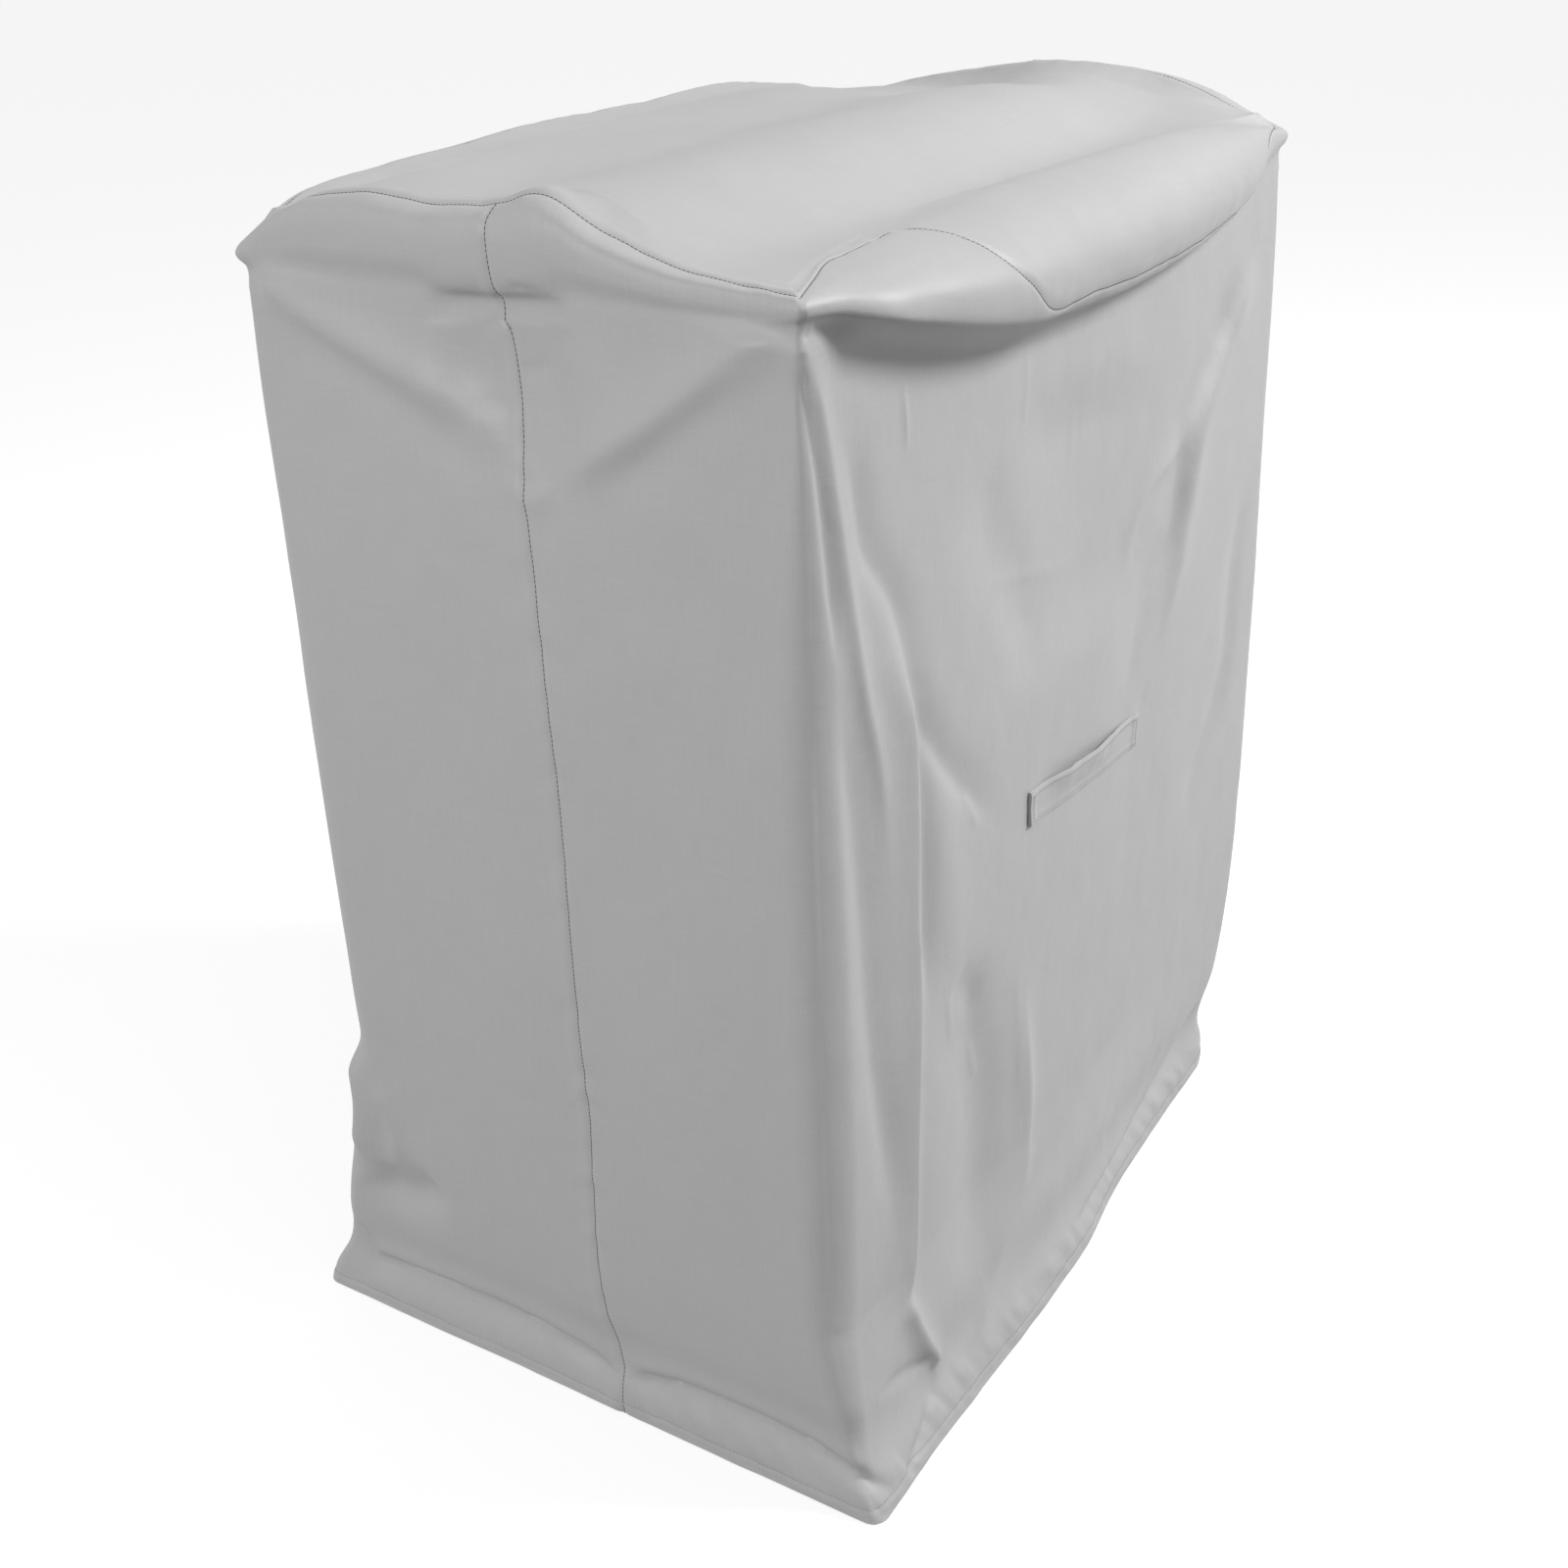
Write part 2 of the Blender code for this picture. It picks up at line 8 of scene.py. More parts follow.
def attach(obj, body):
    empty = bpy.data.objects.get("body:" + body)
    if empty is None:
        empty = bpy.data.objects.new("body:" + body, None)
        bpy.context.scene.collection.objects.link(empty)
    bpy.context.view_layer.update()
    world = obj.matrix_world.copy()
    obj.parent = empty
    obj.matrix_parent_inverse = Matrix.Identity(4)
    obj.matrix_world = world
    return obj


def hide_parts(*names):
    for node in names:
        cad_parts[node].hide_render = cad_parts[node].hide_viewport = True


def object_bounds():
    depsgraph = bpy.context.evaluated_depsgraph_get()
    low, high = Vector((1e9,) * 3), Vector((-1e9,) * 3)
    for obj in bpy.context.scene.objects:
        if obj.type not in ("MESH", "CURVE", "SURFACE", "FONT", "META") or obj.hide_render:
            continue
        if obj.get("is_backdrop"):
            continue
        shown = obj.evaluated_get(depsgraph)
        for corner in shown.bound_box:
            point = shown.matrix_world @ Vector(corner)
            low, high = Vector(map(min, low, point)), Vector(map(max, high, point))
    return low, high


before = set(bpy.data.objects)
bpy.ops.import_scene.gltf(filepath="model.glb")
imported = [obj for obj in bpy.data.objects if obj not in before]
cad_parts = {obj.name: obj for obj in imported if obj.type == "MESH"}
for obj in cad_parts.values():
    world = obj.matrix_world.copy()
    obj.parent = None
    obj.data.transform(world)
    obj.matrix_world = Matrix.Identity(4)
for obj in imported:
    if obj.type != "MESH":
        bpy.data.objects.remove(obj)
cad_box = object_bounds()


# Camera and studio. The camera stands before the near corner and looks down on the cover. A pale floor
# lies under the hem, one broad lamp hangs before the front wall and one beside the left end, and soft
# light comes from all round, less of it from below.
HEM_LEVEL = -1.193
CAMERA_PLACE = (-1.6296, -1.0405, 1.4213 + HEM_LEVEL)
CAMERA_RIGHT = (0.5485, -0.8354, -0.0356)
CAMERA_DOWN = (-0.3778, -0.2096, -0.9019)
CAMERA_FORWARD = (0.7460, 0.5081, -0.4305)
SENSOR_WIDTH, LENS_LENGTH = 36.0, 44.64

# Each lamp's name, place, width and power, then the strength of the room's light from above and below
LAMPS = (
    ("front lamp", (1.8, -2.9, 2.2), 1.3, 158.0),
    ("side lamp", (-3.8, 0.6, 1.2), 1.3, 64.0),
)
LIGHT_FROM_ABOVE, LIGHT_FROM_BELOW = 0.50, 0.18
bpy.context.scene.view_settings.view_transform = "Standard"

lens = bpy.data.cameras.new("camera")
lens.sensor_width = SENSOR_WIDTH
lens.lens = LENS_LENGTH
lens.clip_end = 200.0
camera = bpy.data.objects.new("camera", lens)
bpy.context.scene.collection.objects.link(camera)
turned = np.eye(4)
turned[:3, 0] = CAMERA_RIGHT
turned[:3, 1] = -np.array(CAMERA_DOWN)
turned[:3, 2] = -np.array(CAMERA_FORWARD)
turned[:3, 3] = CAMERA_PLACE
camera.matrix_world = Matrix(turned.tolist())
bpy.context.scene.camera = camera

for name, place, size, power in LAMPS:
    light = bpy.data.lights.new(name, "AREA")
    light.shape = "DISK"
    light.size = size
    light.energy = power
    lamp = bpy.data.objects.new(name, light)
    towards = np.array([0.0, 0.0, -0.5]) - np.array(place)
    lamp.location = place
    lamp.rotation_mode = "QUATERNION"
    lamp.rotation_quaternion = Vector(towards.tolist()).to_track_quat("-Z", "Y")
    bpy.context.scene.collection.objects.link(lamp)

world = bpy.data.worlds.new("soft room")
world.use_nodes = True
room = world.node_tree
direction = room.nodes.new("ShaderNodeTexCoord")
height = room.nodes.new("ShaderNodeSeparateXYZ")
brightness = room.nodes.new("ShaderNodeMapRange")
for number, value in enumerate((-0.25, 0.35, LIGHT_FROM_BELOW, LIGHT_FROM_ABOVE), 1):
    brightness.inputs[number].default_value = value
room.links.new(direction.outputs["Generated"], height.inputs[0])
room.links.new(height.outputs["Z"], brightness.inputs[0])
room.links.new(brightness.outputs[0], room.nodes["Background"].inputs["Strength"])
room.nodes["Background"].inputs["Color"].default_value = (1.0, 1.0, 1.0, 1.0)
bpy.context.scene.world = world

FLOOR_REACH, FLOOR_DROP = 60.0, 0.001
floor_mesh = bpy.data.meshes.new("floor")
floor_mesh.from_pydata(
    [(x, y, HEM_LEVEL - FLOOR_DROP) for x, y in ((-1, -1), (1, -1), (1, 1), (-1, 1))], [], [(0, 1, 2, 3)]
)
floor_mesh.transform(Matrix.Diagonal((FLOOR_REACH, FLOOR_REACH, 1.0, 1.0)))
floor = bpy.data.objects.new("floor", floor_mesh)
floor_finish = bpy.data.materials.new("pale floor")
floor_finish.use_nodes = True
floor_shader = floor_finish.node_tree.nodes["Principled BSDF"]
floor_shader.inputs["Base Color"].default_value = (0.50, 0.50, 0.50, 1.0)
floor_shader.inputs["Roughness"].default_value = 0.9
floor_shader.inputs["Emission Color"].default_value = (1.0, 1.0, 1.0, 1.0)
floor_shader.inputs["Emission Strength"].default_value = 0.65
floor_mesh.materials.append(floor_finish)
floor.visible_diffuse = False
bpy.context.scene.collection.objects.link(floor)
floor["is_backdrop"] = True


# Cloth of the cover, worked out once for all its pieces, because they are cut from one fabric and sewn
# edge to edge: coated grey polyester that hangs from a rim with four drooping corner points, a slack
# roll over the front and a hem that kicks out. The two walls meet at the middle of each narrow end.
LENGTH, DEPTH, CORNER_HEIGHT = 0.95, 0.57, 1.14
PERIMETER = 2 * (LENGTH + DEPTH)
THICKNESS = 0.0018
LONG_STEPS, SHORT_STEPS = 210, 114
WALL_STEPS, RIM_STEPS, TOP_STEPS = 200, 40, 30

# Grid lines round the cover stand closer together where their number is high, by distance along a side
LONG_FINER = (
    (0.0, 2.6), (0.03, 1.8), (0.16, 1.7), (0.20, 1.1),
    (0.40, 1.1), (0.45, 0.8), (0.91, 0.8), (0.95, 2.0),
)
SHORT_FINER = (
    (0.0, 2.2), (0.03, 1.0), (0.255, 1.0), (0.275, 2.2),
    (0.295, 2.2), (0.315, 1.0), (0.54, 1.0), (0.57, 2.2),
)
Side = namedtuple("Side", "name start end run out length steps finer")
SIDES = (
    Side("front", "near", "right", (1, 0), (0, -1), LENGTH, LONG_STEPS, LONG_FINER),
    Side("right", "right", "far", (0, 1), (1, 0), DEPTH, SHORT_STEPS, SHORT_FINER),
    Side("back", "far", "left", (-1, 0), (0, 1), LENGTH, LONG_STEPS, LONG_FINER),
    Side("left", "left", "near", (0, -1), (-1, 0), DEPTH, SHORT_STEPS, SHORT_FINER),
)

# How far the left end's seam strays towards the near corner, by height
SEAM_DRIFT = (
    (0.00, 0.046), (0.05, 0.046), (0.13, 0.036), (0.30, 0.026), (0.45, 0.022),
    (0.70, 0.024), (0.87, 0.019), (1.00, 0.012), (1.08, 0.006), (1.12, 0.000), (1.30, 0.000),
)

# Rounding of each upright corner at its point, half way up and at the hem, and where its foot stands
Corner = namedtuple("Corner", "point_radius middle_radius hem_radius foot_x foot_y rise")
CORNERS = {
    "near": Corner(0.006, 0.040, 0.016, 0.000, 0.044, 0.20),
    "right": Corner(0.006, 0.040, 0.080, -0.020, -0.004, 0.13),
    "far": Corner(0.006, 0.040, 0.040, 0.012, 0.050, 0.26),
    "left": Corner(0.006, 0.036, 0.014, 0.010, 0.088, 0.35),
}

# Sections of the rim: how far out its lip and face stand, its crest, where it ends, and its seam
Rim = namedtuple("Rim", "at lip_out lip_z face_out crest_in crest_z back_in seam")
RIMS = {
    "front": (
        Rim(0.00, 0.004, 1.128, 0.005, 0.005, 1.141, 0.022, 0.50),
        Rim(0.04, 0.012, 1.125, 0.012, 0.010, 1.146, 0.040, 0.84),
        Rim(0.10, 0.034, 1.114, 0.032, 0.014, 1.151, 0.058, 0.84),
        Rim(0.165, 0.041, 1.099, 0.042, 0.018, 1.154, 0.074, 0.78),
        Rim(0.20, 0.043, 1.091, 0.046, 0.020, 1.155, 0.083, 0.56),
        Rim(0.25, 0.043, 1.080, 0.049, 0.023, 1.156, 0.092, 0.30),
        Rim(0.30, 0.041, 1.071, 0.050, 0.025, 1.157, 0.100, 0.10),
        Rim(0.42, 0.028, 1.058, 0.045, 0.030, 1.160, 0.105, 0.08),
        Rim(0.60, 0.020, 1.056, 0.040, 0.030, 1.160, 0.100, 0.08),
        Rim(0.72, 0.014, 1.066, 0.031, 0.028, 1.160, 0.085, 0.08),
        Rim(0.83, 0.008, 1.085, 0.019, 0.024, 1.157, 0.062, 0.10),
        Rim(0.89, 0.003, 1.110, 0.008, 0.018, 1.151, 0.042, 0.34),
        Rim(0.95, 0.004, 1.128, 0.005, 0.005, 1.141, 0.022, 0.50),
    ),
    "right": (
        Rim(0.00, 0.004, 1.128, 0.005, 0.005, 1.141, 0.022, 0.50),
        Rim(0.03, 0.002, 1.126, 0.003, 0.014, 1.158, 0.034, 0.66),
        Rim(0.08, 0.004, 1.128, 0.007, 0.018, 1.183, 0.050, 0.72),
        Rim(0.15, 0.006, 1.130, 0.010, 0.020, 1.198, 0.060, 0.72),
        Rim(0.25, 0.006, 1.130, 0.012, 0.020, 1.206, 0.064, 0.72),
        Rim(0.36, 0.006, 1.130, 0.010, 0.020, 1.196, 0.060, 0.70),
        Rim(0.46, 0.004, 1.128, 0.007, 0.018, 1.180, 0.052, 0.66),
        Rim(0.54, 0.002, 1.126, 0.003, 0.014, 1.156, 0.034, 0.60),
        Rim(0.57, 0.004, 1.128, 0.005, 0.005, 1.141, 0.022, 0.50),
    ),
    "back": (
        Rim(0.00, 0.004, 1.128, 0.005, 0.005, 1.141, 0.022, 0.50),
        Rim(0.04, 0.002, 1.126, 0.003, 0.014, 1.166, 0.038, 0.60),
        Rim(0.14, 0.004, 1.130, 0.006, 0.020, 1.187, 0.055, 0.70),
        Rim(0.21, 0.006, 1.130, 0.008, 0.022, 1.196, 0.060, 0.70),
        Rim(0.42, 0.006, 1.130, 0.010, 0.022, 1.196, 0.060, 0.70),
        Rim(0.63, 0.006, 1.130, 0.008, 0.022, 1.193, 0.060, 0.70),
        Rim(0.79, 0.004, 1.130, 0.006, 0.020, 1.183, 0.055, 0.70),
        Rim(0.90, 0.002, 1.126, 0.003, 0.016, 1.171, 0.040, 0.60),
        Rim(0.95, 0.004, 1.128, 0.005, 0.005, 1.141, 0.022, 0.50),
    ),
    "left": (
        Rim(0.00, 0.004, 1.128, 0.005, 0.005, 1.141, 0.022, 0.50),
        Rim(0.04, 0.000, 1.124, 0.003, 0.014, 1.170, 0.040, 0.60),
        Rim(0.13, 0.000, 1.120, 0.006, 0.019, 1.190, 0.056, 0.62),
        Rim(0.22, 0.000, 1.120, 0.007, 0.019, 1.185, 0.060, 0.62),
        Rim(0.28, 0.000, 1.122, 0.008, 0.019, 1.189, 0.060, 0.62),
        Rim(0.335, 0.000, 1.124, 0.008, 0.019, 1.201, 0.060, 0.62),
        Rim(0.39, 0.000, 1.124, 0.006, 0.017, 1.173, 0.052, 0.62),
        Rim(0.45, 0.000, 1.122, 0.004, 0.014, 1.154, 0.040, 0.62),
        Rim(0.52, 0.000, 1.122, 0.002, 0.010, 1.144, 0.030, 0.58),
        Rim(0.57, 0.004, 1.128, 0.005, 0.005, 1.141, 0.022, 0.50),
    ),
}

# Heights of the top panel over lines along the cover, and the dips and swells between them
TOP_LINES = (0.25, 0.10, -0.085, -0.175, -0.25)
Top = namedtuple("Top", "x rear middle ridge valley front")
TOPS = (
    Top(-0.475, 1.165, 1.186, 1.186, 1.150, 1.142),
    Top(-0.36, 1.176, 1.176, 1.186, 1.146, 1.150),
    Top(-0.20, 1.188, 1.180, 1.190, 1.145, 1.155),
    Top(0.00, 1.193, 1.184, 1.192, 1.145, 1.158),
    Top(0.17, 1.193, 1.187, 1.194, 1.147, 1.158),
    Top(0.30, 1.186, 1.184, 1.197, 1.152, 1.157),
    Top(0.40, 1.174, 1.178, 1.198, 1.166, 1.156),
    Top(0.475, 1.165, 1.188, 1.200, 1.192, 1.158),
)
Swell = namedtuple("Swell", "x y half_x half_y height")
SWELLS = (
    Swell(0.345, 0.02, 0.065, 0.085, -0.022),
    Swell(0.22, 0.17, 0.10, 0.06, 0.006),
    Swell(-0.30, 0.12, 0.10, 0.06, -0.008),
)

# How far the walls stand out by height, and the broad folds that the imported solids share. Around the
# cover, u runs from the near corner along the front wall, and is negative on the left end.
LEVELS = (
    (0.000, 0.006), (0.028, 0.004), (0.055, -0.003), (0.120, 0.004), (0.300, 0.009),
    (0.600, 0.011), (0.850, 0.009), (1.000, 0.004), (1.100, 0.000), (1.300, 0.000),
)
Crease = namedtuple("Crease", "path left right height edge start end", defaults=(2.0, 0.25, 0.3))
BROAD_FOLDS = (
    Crease(((0.480, 1.00), (0.470, 0.855), (0.480, 0.70)), 0.130, 0.130, -0.010),
    Crease(((-0.200, 1.06), (-0.285, 1.055), (-0.370, 1.06)), 0.060, 0.060, -0.011),
    Crease(((-0.575, 0.34), (-0.545, 0.27), (-0.545, 0.18)), 0.018, 0.018, 0.010),
    Crease(((-0.540, 0.19), (-0.5025, 0.1725), (-0.450, 0.20)), 0.030, 0.030, -0.009),
    Crease(((0.380, 0.14), (0.420, 0.045), (0.480, -0.08)), 0.200, 0.200, 0.012),
    Crease(((1.900, 0.90), (1.920, 0.60), (1.880, 0.30)), 0.160, 0.160, 0.008),
    Crease(((2.220, 1.06), (2.178, 0.665), (2.190, 0.20)), 0.035, 0.035, -0.008),
    Crease(((1.680, 1.06), (1.715, 0.74), (1.720, 0.30)), 0.035, 0.035, -0.007),
    Crease(((1.060, 1.06), (1.108, 0.74), (1.110, 0.30)), 0.030, 0.030, -0.007),
    Crease(((1.400, 1.06), (1.353, 0.74), (1.350, 0.30)), 0.030, 0.030, 0.007),
)


def smooth(value):
    """0 to 1 with level ends."""
    value = np.clip(value, 0.0, 1.0)
    return value * value * (3 - 2 * value)


def blended(places, values, slopes, index, at):
    """A smooth curve between one station and the next."""
    rows = np.arange(len(places))[:, None] if places.ndim == 2 else None
    pick = (lambda table, i: table[rows, i]) if rows is not None else (lambda table, i: table[i])
    step = pick(places, index + 1) - pick(places, index)
    t = np.clip((at - pick(places, index)) / step, 0.0, 1.0)[..., None]
    step = step[..., None]
    low = pick(values, index) * (1 + 2 * t) * (1 - t) ** 2 + pick(slopes, index) * step * t * (1 - t) ** 2
    high = pick(values, index + 1) * t * t * (3 - 2 * t) - pick(slopes, index + 1) * step * t * t * (1 - t)
    return low + high


def along(places, values, at):
    """Smooth curves through a table's rows, read at many distances."""
    places, values = np.array(places, float), np.array(values, float)
    slopes = np.gradient(values, places, axis=0)
    index = np.clip(np.searchsorted(places, at) - 1, 0, len(places) - 2)
    return blended(places, values, slopes, index, at)


def crease_depth(creases, a, b, period=None):
    """How far all these creases push the cloth out, over two coordinates of its surface."""
    depth = np.zeros(a.shape)
    for crease in creases:
        knots = np.array(crease.path, float)
        lengths = np.concatenate([[0.0], np.cumsum(np.hypot(*np.diff(knots, axis=0).T))])
        line = along(lengths, knots, np.linspace(0, lengths[-1], 8 * len(knots)))
        reach = 3.2 * max(crease.left, crease.right)
        here = a
        if period:
            middle = line[:, 0].mean()
            here = middle + (a - middle + period / 2) % period - period / 2
        near = (here > line[:, 0].min() - reach) & (here < line[:, 0].max() + reach)
        near &= (b > line[:, 1].min() - reach) & (b < line[:, 1].max() + reach)
        if not near.any():
            continue
        p = np.stack([here[near], b[near]], axis=1)
        best = np.full(len(p), 1e9)
        share, side = np.zeros(len(p)), np.zeros(len(p))
        count = len(line) - 1
        for k in range(count):
            run = line[k + 1] - line[k]
            t = np.clip((p - line[k]) @ run / (run @ run), 0, 1)
            off = p - line[k] - t[:, None] * run
            distance = np.hypot(off[:, 0], off[:, 1])
            closer = distance < best
            best[closer] = distance[closer]
            share[closer] = (k + t[closer]) / count
            side[closer] = run[0] * off[closer, 1] - run[1] * off[closer, 0]
        to_left = smooth(0.5 + side / np.maximum(best, 1e-9) * 50)
        width = crease.right + (crease.left - crease.right) * to_left
        fade = smooth(share / crease.start) * smooth((1 - share) / crease.end)
        depth[near] += crease.height * fade * np.exp(-((best / width) ** crease.edge))
    return depth


def unevenness(a, b, seed):
    """Smooth random values from -1 to 1 over two coordinates, one swell for each unit."""
    table = np.random.default_rng(seed).uniform(-1, 1, (97, 97))
    i, j = np.floor(a).astype(int), np.floor(b).astype(int)
    s, t = smooth(a - i), smooth(b - j)
    corner = lambda p, q: table[(i + p) % 97, (j + q) % 97]
    low = corner(0, 0) * (1 - s) + corner(1, 0) * s
    high = corner(0, 1) * (1 - s) + corner(1, 1) * s
    return low * (1 - t) + high * t


def corner_radius(name, z):
    corner = CORNERS[name]
    up = smooth((z - 0.75) / (CORNER_HEIGHT - 0.75))
    down = smooth((0.28 - z) / 0.28)
    radius = corner.middle_radius + (corner.point_radius - corner.middle_radius) * up
    return radius + (corner.hem_radius - radius) * down


def foot(stand_out, name, z):
    """How far a corner's foot stands out at a height."""
    fade = np.maximum(1 - z / CORNERS[name].rise, 0.0)
    return stand_out * fade * (0.75 + 0.25 * fade)


def ring_point(side, share, out, z):
    """Plan position at a share of the way along a side, on the rounded rectangle grown by out."""
    lengthways = side.run[0] != 0
    half_run, half_out = (LENGTH / 2, DEPTH / 2) if lengthways else (DEPTH / 2, LENGTH / 2)
    start, end = CORNERS[side.start], CORNERS[side.end]
    run_feet = (start.foot_x, end.foot_x) if lengthways else (start.foot_y, end.foot_y)
    out_feet = (start.foot_y, end.foot_y) if lengthways else (start.foot_x, end.foot_x)
    begin = -half_run - out - foot(run_feet[0], side.start, z)
    finish = half_run + out + foot(run_feet[1], side.end, z)
    first_foot, last_foot = foot(out_feet[0], side.start, z), foot(out_feet[1], side.end, z)
    reach = half_out + out + first_foot + (last_foot - first_foot) * share
    first = np.maximum(corner_radius(side.start, z) + np.minimum(out, 0.0), 0.0012)
    last = np.maximum(corner_radius(side.end, z) + np.minimum(out, 0.0), 0.0012)
    arc_first, arc_last = first * np.pi / 4, last * np.pi / 4
    straight = finish - begin - first - last
    distance = share * (arc_first + straight + arc_last)
    early, late = distance < arc_first, distance > arc_first + straight
    angle = np.where(early, np.pi / 4 - distance / first, (distance - arc_first - straight) / last)
    run = np.where(early, begin + first - first * np.sin(angle), finish - last + last * np.sin(angle))
    run = np.where(early | late, run, begin + first + distance - arc_first)
    away = np.where(early, reach - first + first * np.cos(angle), reach - last + last * np.cos(angle))
    away = np.where(early | late, away, reach)
    return run[..., None] * np.array(side.run, float) + away[..., None] * np.array(side.out, float)


def top_height(x, y):
    """Height of the top panel above the hem."""
    section = along([row.x for row in TOPS], [row[1:] for row in TOPS], x)[..., ::-1]
    lines = np.array(TOP_LINES)[::-1]
    slopes = np.gradient(section, lines, axis=-1)
    y = np.clip(y, lines[0], lines[-1])
    index = np.clip(np.searchsorted(lines, y) - 1, 0, len(lines) - 2)
    step = lines[index + 1] - lines[index]
    t = (y - lines[index]) / step
    pick = lambda table, i: np.take_along_axis(table, i[..., None], axis=-1)[..., 0]
    z = pick(section, index) * (1 + 2 * t) * (1 - t) ** 2 + pick(slopes, index) * step * t * (1 - t) ** 2
    z += pick(section, index + 1) * t * t * (3 - 2 * t) - pick(slopes, index + 1) * step * t * t * (1 - t)
    for swell in SWELLS:
        off_x, off_y = (x - swell.x) / swell.half_x, (y - swell.y) / swell.half_y
        z += swell.height * np.exp(-off_x**2 - off_y**2)
    return z


def wall_out(u, z):
    """How far a wall stands out from its nominal plane."""
    levels = np.array(LEVELS)
    out = along(levels[:, 0], levels[:, 1:], z)[..., 0]
    return out + crease_depth(BROAD_FOLDS, u, z, PERIMETER)


def spread(side):
    """Distances along a side, closer together where its folds are small."""
    at = np.linspace(0, side.length, 801)
    density = np.interp(at, *np.array(side.finer).T)
    sums = np.concatenate([[0.0], np.cumsum((density[1:] + density[:-1]) / 2)])
    steps = np.interp(np.linspace(0, sums[-1], side.steps + 1), sums, at)
    return steps if side.name in ("front", "left") else side.length - steps[::-1]


def drift(side, share, z):
    """How far along a side the cloth strays at a height."""
    if side.name != "left":
        return 0.0 * z
    return np.interp(z, *np.array(SEAM_DRIFT).T) * 16 * (share * (1 - share)) ** 2


def side_of_cover(side, distance, u):
    """All points of one side, from the hem up the wall, over the rim and in to the rim's back."""
    share = (distance / side.length)[:, None]
    rims = RIMS[side.name]
    rim = along([row.at for row in rims], [row[1:] for row in rims], distance)
    lip_out, lip_z, face_out, crest_in, crest_z, back_in, seam = rim.T
    neck_z = lip_z - 0.028
    rows = np.interp(np.linspace(0, 1, WALL_STEPS + 1), (0.0, 0.09, 1.0), (0.0, 0.042, 1.0))
    z = neck_z[:, None] * rows
    stray = drift(side, share, z)
    out = wall_out(u[:, None] + stray, z)
    wall = np.concatenate([ring_point(side, share + stray / side.length, out, z), z[..., None]], axis=2)
    neck_out, below_out = out[:, -1], wall_out(u, neck_z - 0.02)
    under_out = neck_out + 0.35 * (lip_out - neck_out) * smooth((lip_out - 0.010) / 0.02)
    back_xy = ring_point(side, share[:, 0], -back_in, np.full_like(neck_z, CORNER_HEIGHT))
    stations = np.array([
        (below_out, neck_z - 0.02),
        (neck_out, neck_z),
        (under_out, lip_z - 0.006),
        (lip_out, lip_z),
        (face_out, lip_z + 0.38 * (crest_z - lip_z)),
        (-crest_in * 0.1 + face_out * 0.45, lip_z + 0.84 * (crest_z - lip_z)),
        (-crest_in, crest_z),
        (-back_in, top_height(back_xy[:, 0], back_xy[:, 1])),
    ]).transpose(2, 0, 1)
    gaps = np.linalg.norm(np.diff(stations, axis=1), axis=2)
    places = np.concatenate([np.zeros((len(u), 1)), np.cumsum(gaps, axis=1)], axis=1)
    before, after = gaps[:, :-1, None], gaps[:, 1:, None]
    inner = before**2 * stations[:, 2:] + (after**2 - before**2) * stations[:, 1:-1]
    inner -= after**2 * stations[:, :-2]
    inner /= before * after * (before + after)
    ends = [(stations[:, k + 1] - stations[:, k]) / gaps[:, k, None] for k in (0, -2)]
    slopes = np.concatenate([ends[0][:, None], inner, ends[1][:, None]], axis=1)
    lip, back = places[:, 3], places[:, 7]
    sewn = lip + seam * (back - lip)
    rise = np.linspace(0, 1, RIM_STEPS + 1)[1:]
    inward = np.linspace(0, 1, TOP_STEPS + 1)[1:]
    at = np.concatenate([
        places[:, 1:2] + (sewn - places[:, 1])[:, None] * rise,
        sewn[:, None] + (back - sewn)[:, None] * inward,
    ], axis=1)
    index = np.clip((at[:, :, None] > places[:, None, :]).sum(2) - 1, 0, 6)
    profile = blended(places, stations, slopes, index, at)
    rim_xy = ring_point(side, share, profile[..., 0], np.full(profile.shape[:2], CORNER_HEIGHT))
    return np.concatenate([wall, np.concatenate([rim_xy, profile[..., 1:2]], axis=2)], axis=1)


blocks, around, strayed, u = [], [], [], 0.0
for side in SIDES:
    distance = spread(side)[:-1]
    blocks.append(side_of_cover(side, distance, u + distance))
    around.append(u + distance)
    strayed.append(drift(side, (distance / side.length)[:, None], blocks[-1][..., 2]))
    u += side.length
cloth = np.concatenate(blocks)
around = np.concatenate(around)
wide_around = around[:, None] + np.concatenate(strayed)
SEAM_ROW = WALL_STEPS + RIM_STEPS
COLUMNS = len(cloth)


def grid_normals(grid, closed):
    """Unit normals of a grid of points, which may run round in its first direction."""
    if closed:
        across = np.roll(grid, -1, axis=0) - np.roll(grid, 1, axis=0)
    else:
        across = np.gradient(grid, axis=0)
    normals = np.cross(across, np.gradient(grid, axis=1))
    return normals / np.maximum(np.linalg.norm(normals, axis=2), 1e-12)[..., None]


